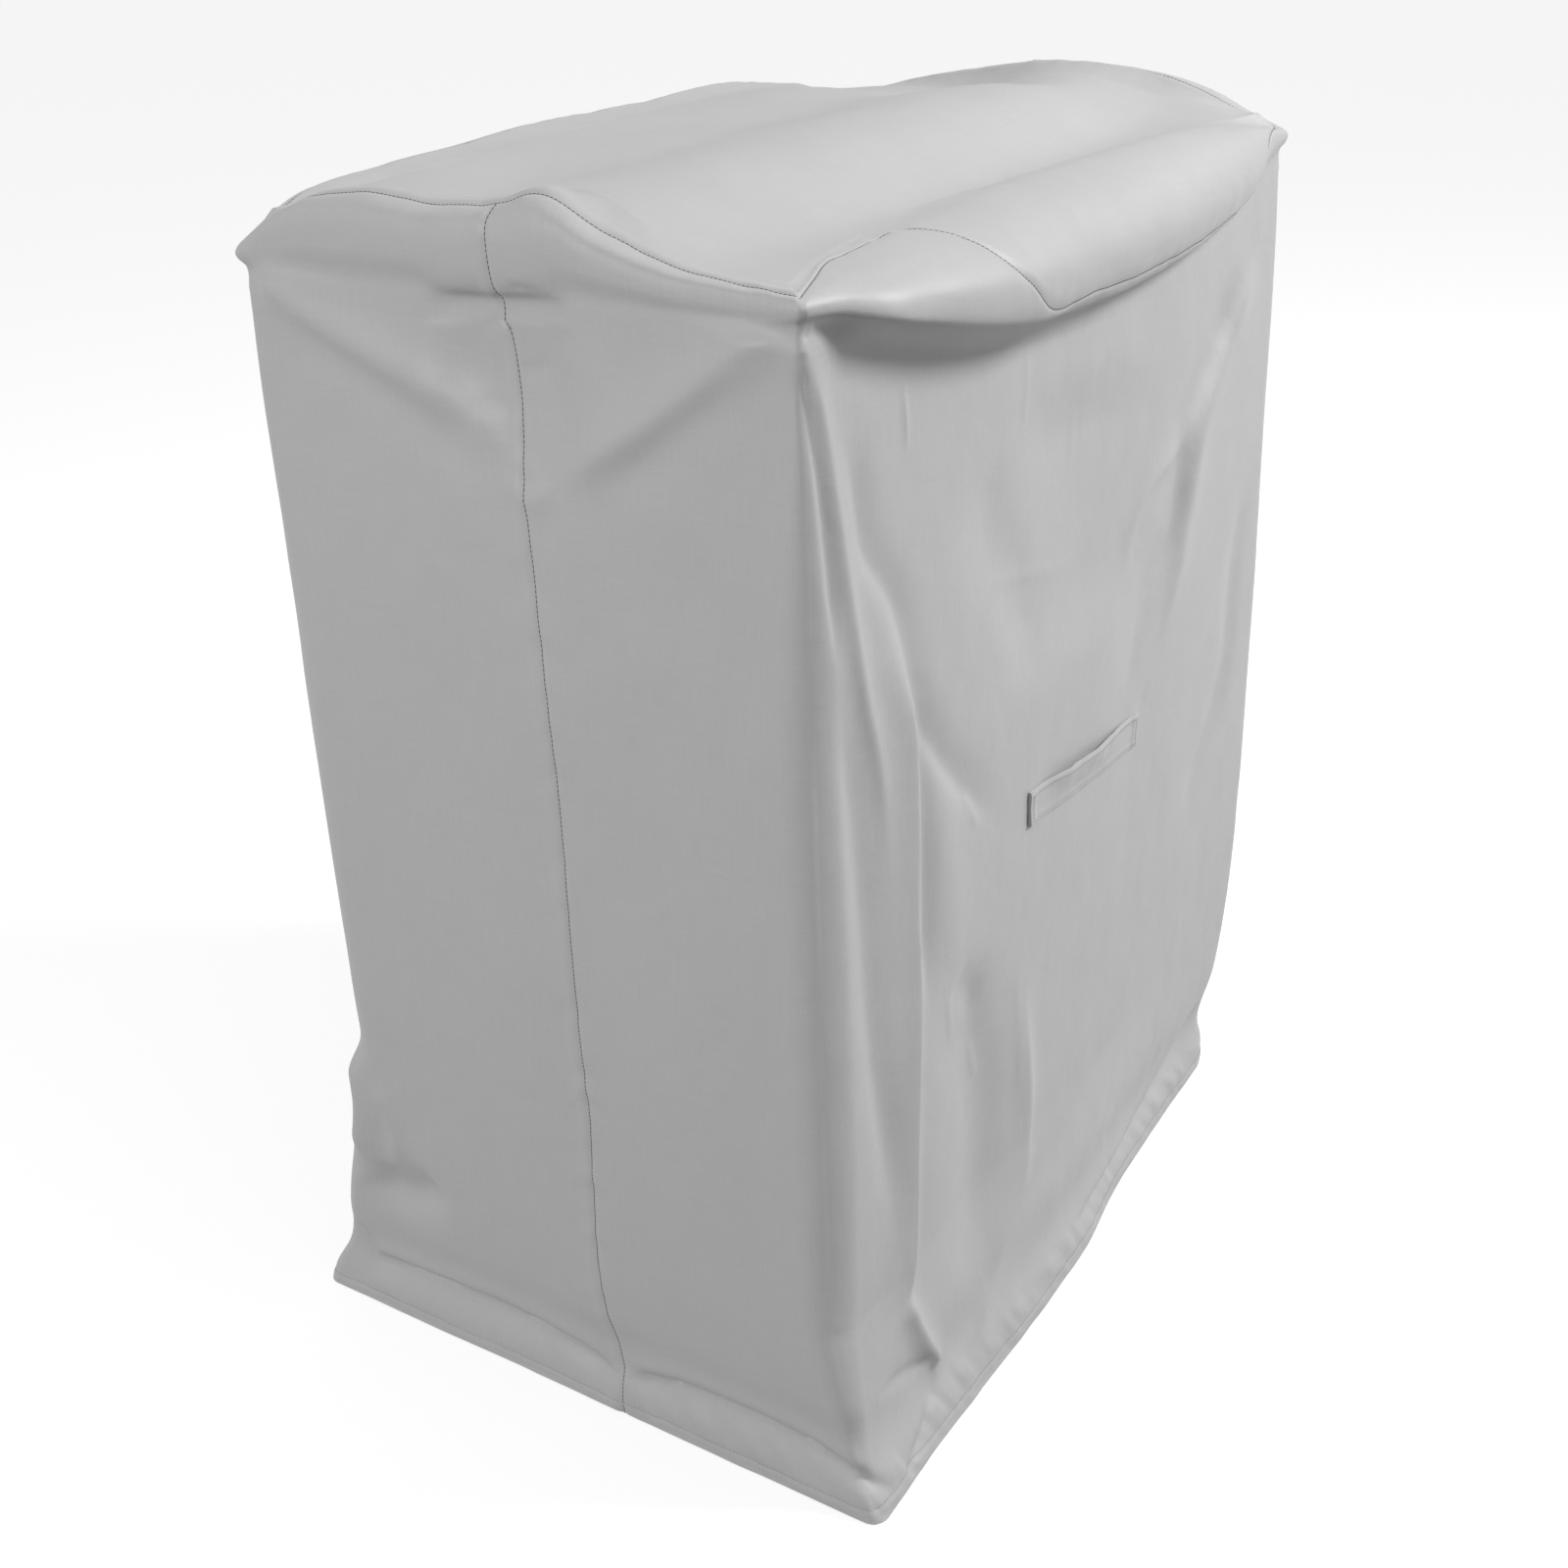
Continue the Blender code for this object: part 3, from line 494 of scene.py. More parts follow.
# Creases of the walls, as paths in u and height. Each has its width to the left and right of the path,
# its height, its crispness, and the shares of the path over which it fades in and out.
FRONT_CREASES = (
    # Groove and ridge from the near corner, and the trough that runs to the strap
    Crease(((-0.004, 1.10), (0.004, 1.051), (0.011, 1.013), (0.017, 0.960), (0.022, 0.899),
           (0.027, 0.84)), 0.011, 0.006, -0.0045, 1.5, 0.10, 0.30),
    Crease(((0.022, 0.90), (0.031, 0.802), (0.045, 0.710), (0.054, 0.610), (0.062, 0.500),
           (0.081, 0.379), (0.104, 0.22)), 0.024, 0.018, -0.0060, 1.8),
    Crease(((0.001, 1.111), (0.017, 1.054), (0.030, 0.985), (0.041, 0.914), (0.060, 0.812),
           (0.079, 0.740), (0.092, 0.62)), 0.012, 0.009, 0.0045, 1.6, 0.1, 0.4),
    Crease(((0.041, 1.043), (0.061, 1.000), (0.073, 0.935), (0.113, 0.877), (0.128, 0.809),
           (0.150, 0.766), (0.191, 0.704), (0.237, 0.654), (0.303, 0.599)), 0.022, 0.012,
           -0.0060, 1.7, 0.15, 0.25),
    # The long standing crease, the groove beside it and the slack between it and the strap
    Crease(((0.108, 0.89), (0.120, 0.82), (0.126, 0.770), (0.130, 0.658), (0.129, 0.583),
           (0.133, 0.500), (0.131, 0.415), (0.128, 0.306), (0.122, 0.200), (0.108, 0.150)),
           0.008, 0.030, 0.0095, 1.3, 0.15, 0.08),
    Crease(((0.146, 0.785), (0.151, 0.700), (0.154, 0.620), (0.155, 0.540), (0.162, 0.460)),
           0.015, 0.008, -0.0055, 1.8, 0.2, 0.3),
    Crease(((0.165, 0.70), (0.190, 0.62), (0.205, 0.54), (0.225, 0.46)), 0.030, 0.030, 0.0030, 2.0),
    # The wide valley low on the wall with its far edge, and the fold at its foot
    Crease(((0.215, 0.500), (0.240, 0.420), (0.256, 0.340), (0.264, 0.260), (0.262, 0.190),
           (0.250, 0.120), (0.220, 0.060)), 0.040, 0.050, -0.0090, 2.0),
    Crease(((0.350, 0.43), (0.356, 0.328), (0.366, 0.236), (0.354, 0.158), (0.308, 0.115),
           (0.265, 0.071), (0.204, 0.030)), 0.014, 0.030, 0.0070, 1.4, 0.3, 0.15),
    Crease(((0.108, 0.175), (0.118, 0.140), (0.130, 0.110), (0.148, 0.070), (0.150, 0.050)),
           0.012, 0.014, 0.0110, 1.4, 0.15, 0.2),
    Crease(((0.150, 0.075), (0.140, 0.052), (0.120, 0.034), (0.084, 0.018), (0.050, 0.006)),
           0.006, 0.012, -0.0060, 1.4, 0.1, 0.3),
    Crease(((0.146, 0.080), (0.118, 0.086), (0.086, 0.097), (0.040, 0.109)), 0.010,
           0.008, -0.0045, 1.4, 0.1, 0.4),
    # Short marks, and faint lines left by folding the cover for its packet
    Crease(((0.209, 0.475), (0.235, 0.450), (0.262, 0.415)), 0.020, 0.014, -0.0030, 2.0),
    Crease(((0.197, 0.465), (0.203, 0.440), (0.211, 0.405)), 0.004, 0.004, 0.0016, 1.6),
    Crease(((0.223, 0.662), (0.238, 0.640), (0.253, 0.612)), 0.004, 0.005, 0.0016, 1.6),
    Crease(((0.250, 0.380), (0.259, 0.355), (0.268, 0.330)), 0.004, 0.004, 0.0014, 1.6),
    Crease(((0.136, 1.052), (0.139, 1.023), (0.140, 0.992)), 0.003, 0.004, 0.0016, 1.6),
    Crease(((0.349, 1.037), (0.346, 0.994), (0.340, 0.952)), 0.005, 0.004, 0.0008, 1.6),
    Crease(((0.450, 0.961), (0.454, 0.923), (0.450, 0.887)), 0.004, 0.005, 0.0008, 1.6),
    Crease(((0.333, 0.430), (0.340, 0.338), (0.344, 0.251)), 0.005, 0.004, 0.0007, 1.6),
    Crease(((0.268, 0.838), (0.314, 0.833), (0.379, 0.818), (0.447, 0.807)), 0.004, 0.005, 0.0010, 1.6),
    Crease(((0.262, 0.97), (0.278, 0.892), (0.322, 0.83), (0.345, 0.78), (0.312, 0.72)),
           0.040, 0.040, -0.0050, 2.0),
    # Groove, ridge and turning edge that come down from the right corner
    Crease(((0.845, 1.020), (0.801, 0.963), (0.768, 0.928), (0.738, 0.904), (0.705, 0.871),
           (0.698, 0.831), (0.683, 0.773), (0.642, 0.732), (0.600, 0.692), (0.579, 0.645),
           (0.576, 0.597)), 0.014, 0.034, -0.0085, 1.7, 0.15, 0.3),
    Crease(((0.890, 1.020), (0.830, 0.965), (0.782, 0.915), (0.746, 0.872), (0.715, 0.806),
           (0.693, 0.748), (0.670, 0.690), (0.646, 0.632)), 0.030, 0.012, 0.0070, 1.6, 0.15, 0.3),
    Crease(((0.760, 0.930), (0.707, 0.861), (0.613, 0.834), (0.584, 0.801), (0.570, 0.770),
           (0.530, 0.756)), 0.008, 0.012, 0.0028, 1.6),
    Crease(((0.895, 0.800), (0.862, 0.697), (0.853, 0.630), (0.848, 0.559), (0.815, 0.500),
           (0.766, 0.443), (0.749, 0.375)), 0.020, 0.020, -0.0045, 2.0),
    # A pull at the strap's far end, the fan at the near corner and the turn above the hem
    Crease(((0.629, 0.620), (0.614, 0.606), (0.599, 0.592)), 0.003, 0.004, -0.0014, 1.6),
    Crease(((-0.009, 1.133), (0.000, 1.126), (0.017, 1.115)), 0.004, 0.004, 0.0016, 1.6),
    Crease(((-0.007, 1.125), (0.000, 1.116), (0.009, 1.109)), 0.004, 0.004, -0.0016, 1.6),
    Crease(((0.440, 0.034), (0.560, 0.036), (0.648, 0.037), (0.760, 0.050), (0.825, 0.062),
           (0.895, 0.100)), 0.005, 0.018, -0.0070, 1.4, 0.2, 0.1),
)
LEFT_CREASES = (
    # The two bands that run from the corners to the seam, and the hollows below them
    Crease(((-0.565, 1.122), (-0.508, 1.091), (-0.456, 1.072), (-0.402, 1.053), (-0.354, 1.034),
           (-0.308, 1.008), (-0.276, 0.968)), 0.020, 0.018, 0.0080, 1.7, 0.1, 0.25),
    Crease(((-0.010, 1.126), (-0.057, 1.094), (-0.102, 1.060), (-0.150, 1.028), (-0.200, 0.998),
           (-0.246, 0.964)), 0.018, 0.020, 0.0080, 1.7, 0.1, 0.25),
    Crease(((-0.551, 1.104), (-0.508, 1.070), (-0.451, 1.045), (-0.400, 1.022), (-0.351, 0.995),
           (-0.300, 0.960)), 0.014, 0.022, -0.0035, 1.8),
    Crease(((-0.050, 1.080), (-0.104, 1.040), (-0.152, 1.002), (-0.200, 0.972)), 0.022,
           0.014, -0.0035, 1.8),
    # Puckers at the seam below the rim
    Crease(((-0.300, 0.975), (-0.265, 0.958), (-0.235, 0.975)), 0.008, 0.010, 0.0030, 1.6),
    Crease(((-0.272, 1.126), (-0.255, 1.127), (-0.237, 1.122)), 0.004, 0.004, -0.0016, 1.5),
    Crease(((-0.312, 1.088), (-0.295, 1.096), (-0.279, 1.101)), 0.004, 0.004, -0.0016, 1.5),
    Crease(((-0.277, 1.054), (-0.260, 1.060), (-0.232, 1.071)), 0.004, 0.004, -0.0018, 1.5),
    Crease(((-0.330, 1.020), (-0.304, 1.030), (-0.279, 1.026)), 0.004, 0.004, -0.0018, 1.5),
    # Folds at the left foot
    Crease(((-0.535, 0.310), (-0.517, 0.274), (-0.506, 0.239), (-0.512, 0.202), (-0.541, 0.198)),
           0.008, 0.010, 0.0040, 1.5),
    Crease(((-0.540, 0.172), (-0.529, 0.166), (-0.494, 0.162), (-0.433, 0.205)), 0.022,
           0.016, -0.0060, 1.8),
    Crease(((-0.568, 0.096), (-0.546, 0.075), (-0.533, 0.046)), 0.005, 0.006, -0.0045, 1.4),
    # The sharp turn above the hem, and the wall's swell over it
    Crease(((-0.545, 0.052), (-0.500, 0.056), (-0.453, 0.058), (-0.392, 0.061), (-0.335, 0.058),
           (-0.279, 0.051), (-0.238, 0.036)), 0.003, 0.018, -0.0085, 1.4, 0.1, 0.12),
    Crease(((-0.545, 0.066), (-0.453, 0.070), (-0.392, 0.073), (-0.335, 0.070), (-0.279, 0.063),
           (-0.238, 0.050)), 0.016, 0.008, 0.0040, 1.8, 0.1, 0.12),
    Crease(((-0.236, 0.044), (-0.173, 0.060), (-0.122, 0.062), (-0.072, 0.061), (-0.027, 0.054),
           (0.018, 0.030), (0.037, 0.007)), 0.003, 0.018, -0.0085, 1.4, 0.1, 0.15),
    Crease(((-0.236, 0.058), (-0.173, 0.073), (-0.122, 0.075), (-0.072, 0.074), (-0.027, 0.067),
           (0.018, 0.046)), 0.016, 0.008, 0.0040, 1.8, 0.1, 0.15),
)

heights = cloth[..., 2]
climbed = np.concatenate([
    np.zeros((COLUMNS, 1)),
    np.cumsum(np.linalg.norm(np.diff(cloth, axis=1), axis=2), axis=1),
], axis=1)
from_top_seam = climbed - climbed[:, SEAM_ROW : SEAM_ROW + 1]
flat_around = np.repeat(around[:, None], cloth.shape[1], axis=1)
END_SEAMS = (PERIMETER - DEPTH / 2, LENGTH + DEPTH / 2)
HEM_STITCH = 0.013
BROAD_SLACK, FINE_SLACK = 0.0011, 0.0004

# Depth and half width of the groove that each line of stitches draws
END_GROOVE, TOP_GROOVE, HEM_GROOVE = (0.0013, 0.0022), (0.0011, 0.0022), (0.0010, 0.0016)


def groove(distance, sizes):
    depth, reach = sizes
    return -depth * np.exp(-((distance / reach) ** 2))


push = crease_depth(FRONT_CREASES + LEFT_CREASES, wide_around, heights, PERIMETER)
push *= smooth((from_top_seam + 0.03) / -0.02)
push += BROAD_SLACK * unevenness(wide_around / 0.10, heights / 0.17, 3)
push += FINE_SLACK * unevenness(wide_around / 0.028, heights / 0.05, 4)

# Each end seam pulls a fine groove, with the doubled cloth raised beside it and puckers across it
for place, seed in zip(END_SEAMS, (11, 12)):
    off = flat_around - place
    ready = smooth((from_top_seam + 0.004) / -0.01)
    push += groove(off, END_GROOVE) * ready
    push += 0.0007 * np.exp(-(((off + 0.0075) / 0.005) ** 2)) * ready
    across = unevenness((heights + 0.5 * np.abs(off)) / 0.017, off / 0.045, seed)
    push += 0.0011 * across * np.exp(-((off / 0.022) ** 2)) * ready

# The hem is turned up and stitched, and draws small slanting puckers
slant = unevenness((wide_around + 0.6 * heights) / 0.011, heights / 0.030, 21)
push += 0.0014 * slant * smooth((0.055 - heights) / 0.025) * smooth(heights / 0.004)
push += 0.0007 * smooth((HEM_STITCH + 0.001 - heights) / 0.002)
push += groove(heights - HEM_STITCH, HEM_GROOVE)

# The top seam lies in a fine groove with its own small puckers
push += groove(from_top_seam, TOP_GROOVE)
push += 0.0006 * np.exp(-(((from_top_seam - 0.007) / 0.004) ** 2))
gathers = unevenness((flat_around + 0.4 * from_top_seam) / 0.016, from_top_seam / 0.02, 22)
push += 0.0007 * gathers * np.exp(-((from_top_seam / 0.018) ** 2))
cloth = cloth + grid_normals(cloth, True) * push[..., None]
cloth[:, 0, 2] = 0.0
cloth[..., 2] = np.maximum(cloth[..., 2], 0.0)


THREAD_SPACING = 0.0011


def weave_finish(name, tone, gloss):
    """Coated cloth: fine plain weave, slubs along both threads, packing crinkles and a dull shine."""
    finish = bpy.data.materials.new(name)
    finish.use_nodes = True
    tree = finish.node_tree
    shader = tree.nodes["Principled BSDF"]

    def node(kind, values=(), **settings):
        made = tree.nodes.new(kind)
        for key, value in settings.items():
            setattr(made, key, value)
        for socket, value in values:
            if isinstance(value, bpy.types.NodeSocket):
                tree.links.new(value, made.inputs[socket])
            else:
                made.inputs[socket].default_value = value
        return made.outputs[0]

    place = node("ShaderNodeUVMap", uv_map="cloth_uv")
    parts = tree.nodes.new("ShaderNodeSeparateXYZ")
    tree.links.new(place, parts.inputs[0])
    thread = 2 * np.pi / THREAD_SPACING

    def threads(distance):
        turned = node("ShaderNodeMath", ((0, distance), (1, thread)), operation="MULTIPLY")
        return node("ShaderNodeMath", ((0, turned),), operation="SINE")

    warp, weft = threads(parts.outputs[0]), threads(parts.outputs[1])
    weave = node("ShaderNodeMath", ((0, warp), (1, weft)), operation="MULTIPLY")

    def slubs(scale_x, scale_y):
        stretched = node("ShaderNodeMapping", ((0, place), (3, (scale_x, scale_y, 1.0))))
        return node("ShaderNodeTexNoise", (("Vector", stretched), ("Scale", 1.0), ("Detail", 2.0)))

    upright, level = slubs(700.0, 24.0), slubs(24.0, 700.0)
    cloudy = node("ShaderNodeTexNoise", (("Vector", place), ("Scale", 9.0), ("Detail", 3.0)))
    mixed = node("ShaderNodeMath", ((0, upright), (1, level)), operation="ADD")
    faint_weave = node("ShaderNodeMath", ((0, weave), (1, 0.18)), operation="MULTIPLY")
    mixed = node("ShaderNodeMath", ((0, mixed), (1, faint_weave)), operation="ADD")
    shade = node("ShaderNodeMapRange", ((0, mixed), (1, 0.5), (2, 1.5), (3, 0.95), (4, 1.05)))
    drift = node("ShaderNodeMapRange", ((0, cloudy), (1, 0.3), (2, 0.7), (3, 0.985), (4, 1.015)))
    factor = node("ShaderNodeMath", ((0, shade), (1, drift)), operation="MULTIPLY")
    colour = node("ShaderNodeVectorMath", ((0, tone), (3, factor)), operation="SCALE")
    tree.links.new(colour, shader.inputs["Base Color"])
    rough = node("ShaderNodeMapRange", (
        (0, cloudy), (1, 0.3), (2, 0.7), (3, gloss - 0.04), (4, gloss + 0.05),
    ))
    tree.links.new(rough, shader.inputs["Roughness"])
    shader.inputs["Specular IOR Level"].default_value = 0.45
    shader.inputs["Sheen Weight"].default_value = 0.10
    shader.inputs["Sheen Roughness"].default_value = 0.5
    fine = node("ShaderNodeBump", (("Strength", 0.20), ("Distance", 0.0003), ("Height", mixed)))
    crinkle = node("ShaderNodeTexNoise", (
        ("Vector", place), ("Scale", 22.0), ("Detail", 4.0), ("Roughness", 0.55), ("Distortion", 0.6),
    ))
    coarse = node("ShaderNodeBump", (
        ("Strength", 0.25), ("Distance", 0.004), ("Height", crinkle), ("Normal", fine),
    ))
    tree.links.new(coarse, shader.inputs["Normal"])
    return finish


def add_cloth(name, points, depths, patches, borders, uv, finish):
    """One closed thin body: a fine outer layer, an inner layer of half as many lines, and its edges."""
    count = len(points)
    used = np.zeros(count, bool)
    faces, inner_faces = [], []
    for patch in patches:
        quads = np.stack([patch[:-1, :-1], patch[1:, :-1], patch[1:, 1:], patch[:-1, 1:]], axis=2)
        faces.append(quads.reshape(-1, 4))
        half = patch[::2, ::2]
        quads = np.stack([half[:-1, :-1], half[:-1, 1:], half[1:, 1:], half[1:, :-1]], axis=2)
        inner_faces.append(quads.reshape(-1, 4))
        used[half] = True
    place = np.full(count, -1)
    place[used] = count + np.arange(used.sum())
    vertices = np.concatenate([points, points[used] - depths[used]])
    sides = []
    for border in borders:
        for a, middle, b in zip(border[:-2:2], border[1:-1:2], border[2::2]):
            sides.append((b, middle, a, place[a], place[b]))
    mesh = bpy.data.meshes.new(name)
    quads = np.concatenate([np.concatenate(faces), place[np.concatenate(inner_faces)]])
    mesh.from_pydata(vertices.tolist(), [], quads.tolist() + sides)
    both = np.concatenate([uv, uv[used]])
    corners = np.empty(len(mesh.loops), np.int32)
    mesh.loops.foreach_get("vertex_index", corners)
    mesh.uv_layers.new(name="cloth_uv").data.foreach_set("uv", both[corners].astype(np.float32).ravel())
    mesh.materials.append(finish)
    mesh.shade_smooth()
    mesh.set_sharp_from_angle(angle=np.radians(60))
    made = bpy.data.objects.new(name, mesh)
    bpy.context.scene.collection.objects.link(made)
    return made


# Front wall and back wall: one length of cloth each, from the middle of the left end to the middle of
# the right end, folded double into a hem at the foot and sewn to the top panel along the rim.
cover_cloth = weave_finish("grey coated cloth", (0.460, 0.461, 0.463), 0.50)
lowered = cloth + np.array([0.0, 0.0, HEM_LEVEL])
cloth_normals = grid_normals(lowered, True)
LEFT_SEAM = COLUMNS - SHORT_STEPS // 2
RIGHT_SEAM = LONG_STEPS + SHORT_STEPS // 2
SEAM_GAP = 0.00015

WALL_PIECES = (
    ("front_wall_cloth", LEFT_SEAM - COLUMNS, RIGHT_SEAM),
    ("back_wall_cloth", RIGHT_SEAM, LEFT_SEAM),
)

for name, first, last in WALL_PIECES:
    chosen = np.arange(first, last + 1) % COLUMNS
    grid, normals = lowered[chosen, : SEAM_ROW + 1].copy(), cloth_normals[chosen, : SEAM_ROW + 1]
    for edge, inner in ((0, 1), (-1, -2)):
        pull = grid[inner] - grid[edge]
        grid[edge] += pull / np.linalg.norm(pull, axis=1)[:, None] * SEAM_GAP
    pull = grid[:, -2] - grid[:, -1]
    grid[:, -1] += pull / np.maximum(np.linalg.norm(pull, axis=1), 1e-9)[:, None] * SEAM_GAP
    wide, high = grid.shape[:2]
    index = np.arange(wide * high).reshape(wide, high)
    loop = np.concatenate([index[:, 0], index[-1, 1:], index[-2::-1, -1], index[0, -2::-1]])
    walked = np.unwrap(around[chosen] / PERIMETER * 2 * np.pi) / (2 * np.pi) * PERIMETER
    uv = np.stack([np.repeat(walked[:, None], high, axis=1), climbed[chosen, :high]], axis=2)
    wall = add_cloth(
        name, grid.reshape(-1, 3), normals.reshape(-1, 3) * THICKNESS,
        [index], [loop.tolist()], uv.reshape(-1, 2), cover_cloth,
    )
    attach(wall, "root")
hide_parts("front_wall")
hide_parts("back_wall")


# Top panel: one piece of the same cloth sewn inside the rim, lying slack between its corner points,
# with a long ridge, a valley before it and the slack roll that hangs out over the front wall.
ring = cloth[:, SEAM_ROW:].copy()
TOP_ROWS = ring.shape[1]
edge = ring[:, -1]
known = -np.ones((LONG_STEPS + 1, SHORT_STEPS + 1), int)
for i in range(LONG_STEPS + 1):
    known[i, 0] = i
    known[LONG_STEPS - i, SHORT_STEPS] = (LONG_STEPS + SHORT_STEPS + i) % COLUMNS
for j in range(SHORT_STEPS + 1):
    known[LONG_STEPS, j] = LONG_STEPS + j
    known[0, SHORT_STEPS - j] = (2 * LONG_STEPS + SHORT_STEPS + j) % COLUMNS
s = (spread(SIDES[0]) / LENGTH)[:, None, None]
t = (spread(SIDES[1]) / DEPTH)[None, :, None]
front_edge, back_edge = edge[known[:, 0]][:, None, :], edge[known[:, -1]][:, None, :]
left_edge, right_edge = edge[known[0]][None, :, :], edge[known[-1]][None, :, :]
middle = (1 - t) * front_edge + t * back_edge + (1 - s) * left_edge + s * right_edge
middle = middle - (1 - s) * (1 - t) * edge[known[0, 0]] - s * (1 - t) * edge[known[-1, 0]]
middle = middle - (1 - s) * t * edge[known[0, -1]] - s * t * edge[known[-1, -1]]
middle[1:-1, 1:-1, 2] = top_height(middle[1:-1, 1:-1, 0], middle[1:-1, 1:-1, 1])
from_ends = np.minimum(s[:, 0, 0], 1 - s[:, 0, 0]) * 0.95
from_long_sides = np.minimum(t[0, :, 0], 1 - t[0, :, 0]) * 0.57
fade = 1 - np.exp(-np.minimum.outer(from_ends, from_long_sides) / 0.02)
loose = 0.0012 * unevenness(middle[..., 0] / 0.09, middle[..., 1] / 0.06, 7)
middle[1:-1, 1:-1] += (grid_normals(middle, False) * (loose * fade)[..., None])[1:-1, 1:-1]

ring_index = np.arange(COLUMNS * TOP_ROWS).reshape(COLUMNS, TOP_ROWS)
patch = np.where(known >= 0, ring_index[np.maximum(known, 0), -1], -1)
inside = known < 0
patch[inside] = COLUMNS * TOP_ROWS + np.arange(inside.sum())
pull = ring[:, 1] - ring[:, 0]
ring[:, 0] += pull / np.maximum(np.linalg.norm(pull, axis=1), 1e-9)[:, None] * SEAM_GAP
points = np.concatenate([ring.reshape(-1, 3), middle[inside]]) + np.array([0.0, 0.0, HEM_LEVEL])
normals = np.concatenate([cloth_normals[:, SEAM_ROW:].reshape(-1, 3), grid_normals(middle, False)[inside]])
closed_index = np.concatenate([ring_index, ring_index[:1]])
top = add_cloth(
    "top_cloth", points, normals * THICKNESS,
    [closed_index, patch], [closed_index[:, 0].tolist()], points[:, :2], cover_cloth,
)
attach(top, "root")
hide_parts("top_panel")


# Carry strap: a doubled band of the cover's cloth with its ends turned under and sewn flat to the front
# wall. It lies along the wall, and its slack upper edge stands a few millimetres off it, with two kinks.
STRAP_START, STRAP_END = 0.350, 0.598
STRAP_START_HEIGHT, STRAP_END_HEIGHT = 0.5915, 0.5785
STRAP_WIDTH = 0.036
STRAP_THICKNESS = 0.0022
STRAP_LIFT = (
    (0.00, 0.0), (0.07, 0.0), (0.16, 0.0014), (0.31, 0.0066), (0.38, 0.0056), (0.47, 0.0062), (0.54, 0.0070),
    (0.63, 0.0050), (0.80, 0.0016), (0.93, 0.0), (1.00, 0.0),
)
STRAP_STEPS, STRAP_ROWS = 96, 16


def on_front(u, z):
    """Places on the dressed front wall, and its outward directions, for distances along it and heights."""
    columns = np.interp(u, around[: LONG_STEPS + 1], np.arange(LONG_STEPS + 1))
    places, outs = np.zeros(u.shape + (3,)), np.zeros(u.shape + (3,))
    for spot in np.ndindex(u.shape):
        left = int(columns[spot])
        share = columns[spot] - left
        for column, weight in ((left, 1 - share), (left + 1, share)):
            row = np.interp(z[spot], cloth[column, :WALL_STEPS, 2], np.arange(WALL_STEPS))
            low = int(row)
            for k, part in ((low, low + 1 - row), (low + 1, row - low)):
                places[spot] += lowered[column, k] * weight * part
                outs[spot] += cloth_normals[column, k] * weight * part
    return places, outs / np.linalg.norm(outs, axis=-1)[..., None]


along_strap, across_strap = np.meshgrid(
    np.linspace(0, 1, STRAP_STEPS + 1), np.linspace(-0.5, 0.5, STRAP_ROWS + 1), indexing="ij"
)
strap_u = STRAP_START + (STRAP_END - STRAP_START) * along_strap
strap_z = STRAP_START_HEIGHT + (STRAP_END_HEIGHT - STRAP_START_HEIGHT) * along_strap
strap_z = strap_z + STRAP_WIDTH * across_strap
strap_z = strap_z + 0.0006 * unevenness(along_strap * 9, 3 * across_strap, 31)
strap_places, strap_outs = on_front(strap_u, strap_z)
lift = np.interp(along_strap, *np.array(STRAP_LIFT).T) * (0.12 + 0.88 * smooth(across_strap * 1.15 + 0.5))
lift = lift + 0.0004 * unevenness(along_strap * 16, 4 * across_strap, 32)

# Its ends are thicker by the cloth that is turned under, and its long edges by their folds
turned_under = 0.0010 * smooth((0.055 - np.minimum(along_strap, 1 - along_strap)) / 0.012)
from_edge = (0.5 - np.abs(across_strap)) * STRAP_WIDTH
folded_edge = 0.0005 * smooth((0.006 - from_edge) / 0.0015)
rounding = 0.0007 * smooth((0.0012 - from_edge) / 0.0012)
strap_depth = STRAP_THICKNESS + turned_under + folded_edge - rounding
strap_points = strap_places + strap_outs * (strap_depth + 0.0004 + lift)[..., None]
strap_index = np.arange(strap_points.shape[0] * strap_points.shape[1]).reshape(strap_points.shape[:2])
strap_border = np.concatenate([
    strap_index[:, 0], strap_index[-1, 1:], strap_index[-2::-1, -1], strap_index[0, -2::-1],
])
strap_uv = np.stack([strap_u, strap_z + 3.0], axis=2).reshape(-1, 2)
strap_cloth = weave_finish("strap cloth", (0.470, 0.471, 0.473), 0.52)
strap = add_cloth(
    "carry_strap", strap_points.reshape(-1, 3), (strap_outs * strap_depth[..., None]).reshape(-1, 3),
    [strap_index], [strap_border.tolist()], strap_uv, strap_cloth,
)
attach(strap, "root")
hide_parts("carry_handle")


# Sewing: lockstitch in a dark grey thread along the two end seams, round the top seam, round the hem
# and in a box round the strap. Its threads lie in the grooves that they draw into the cloth.
STITCH_PITCH, STITCH_LENGTH, THREAD = 0.0043, 0.0036, 0.0008


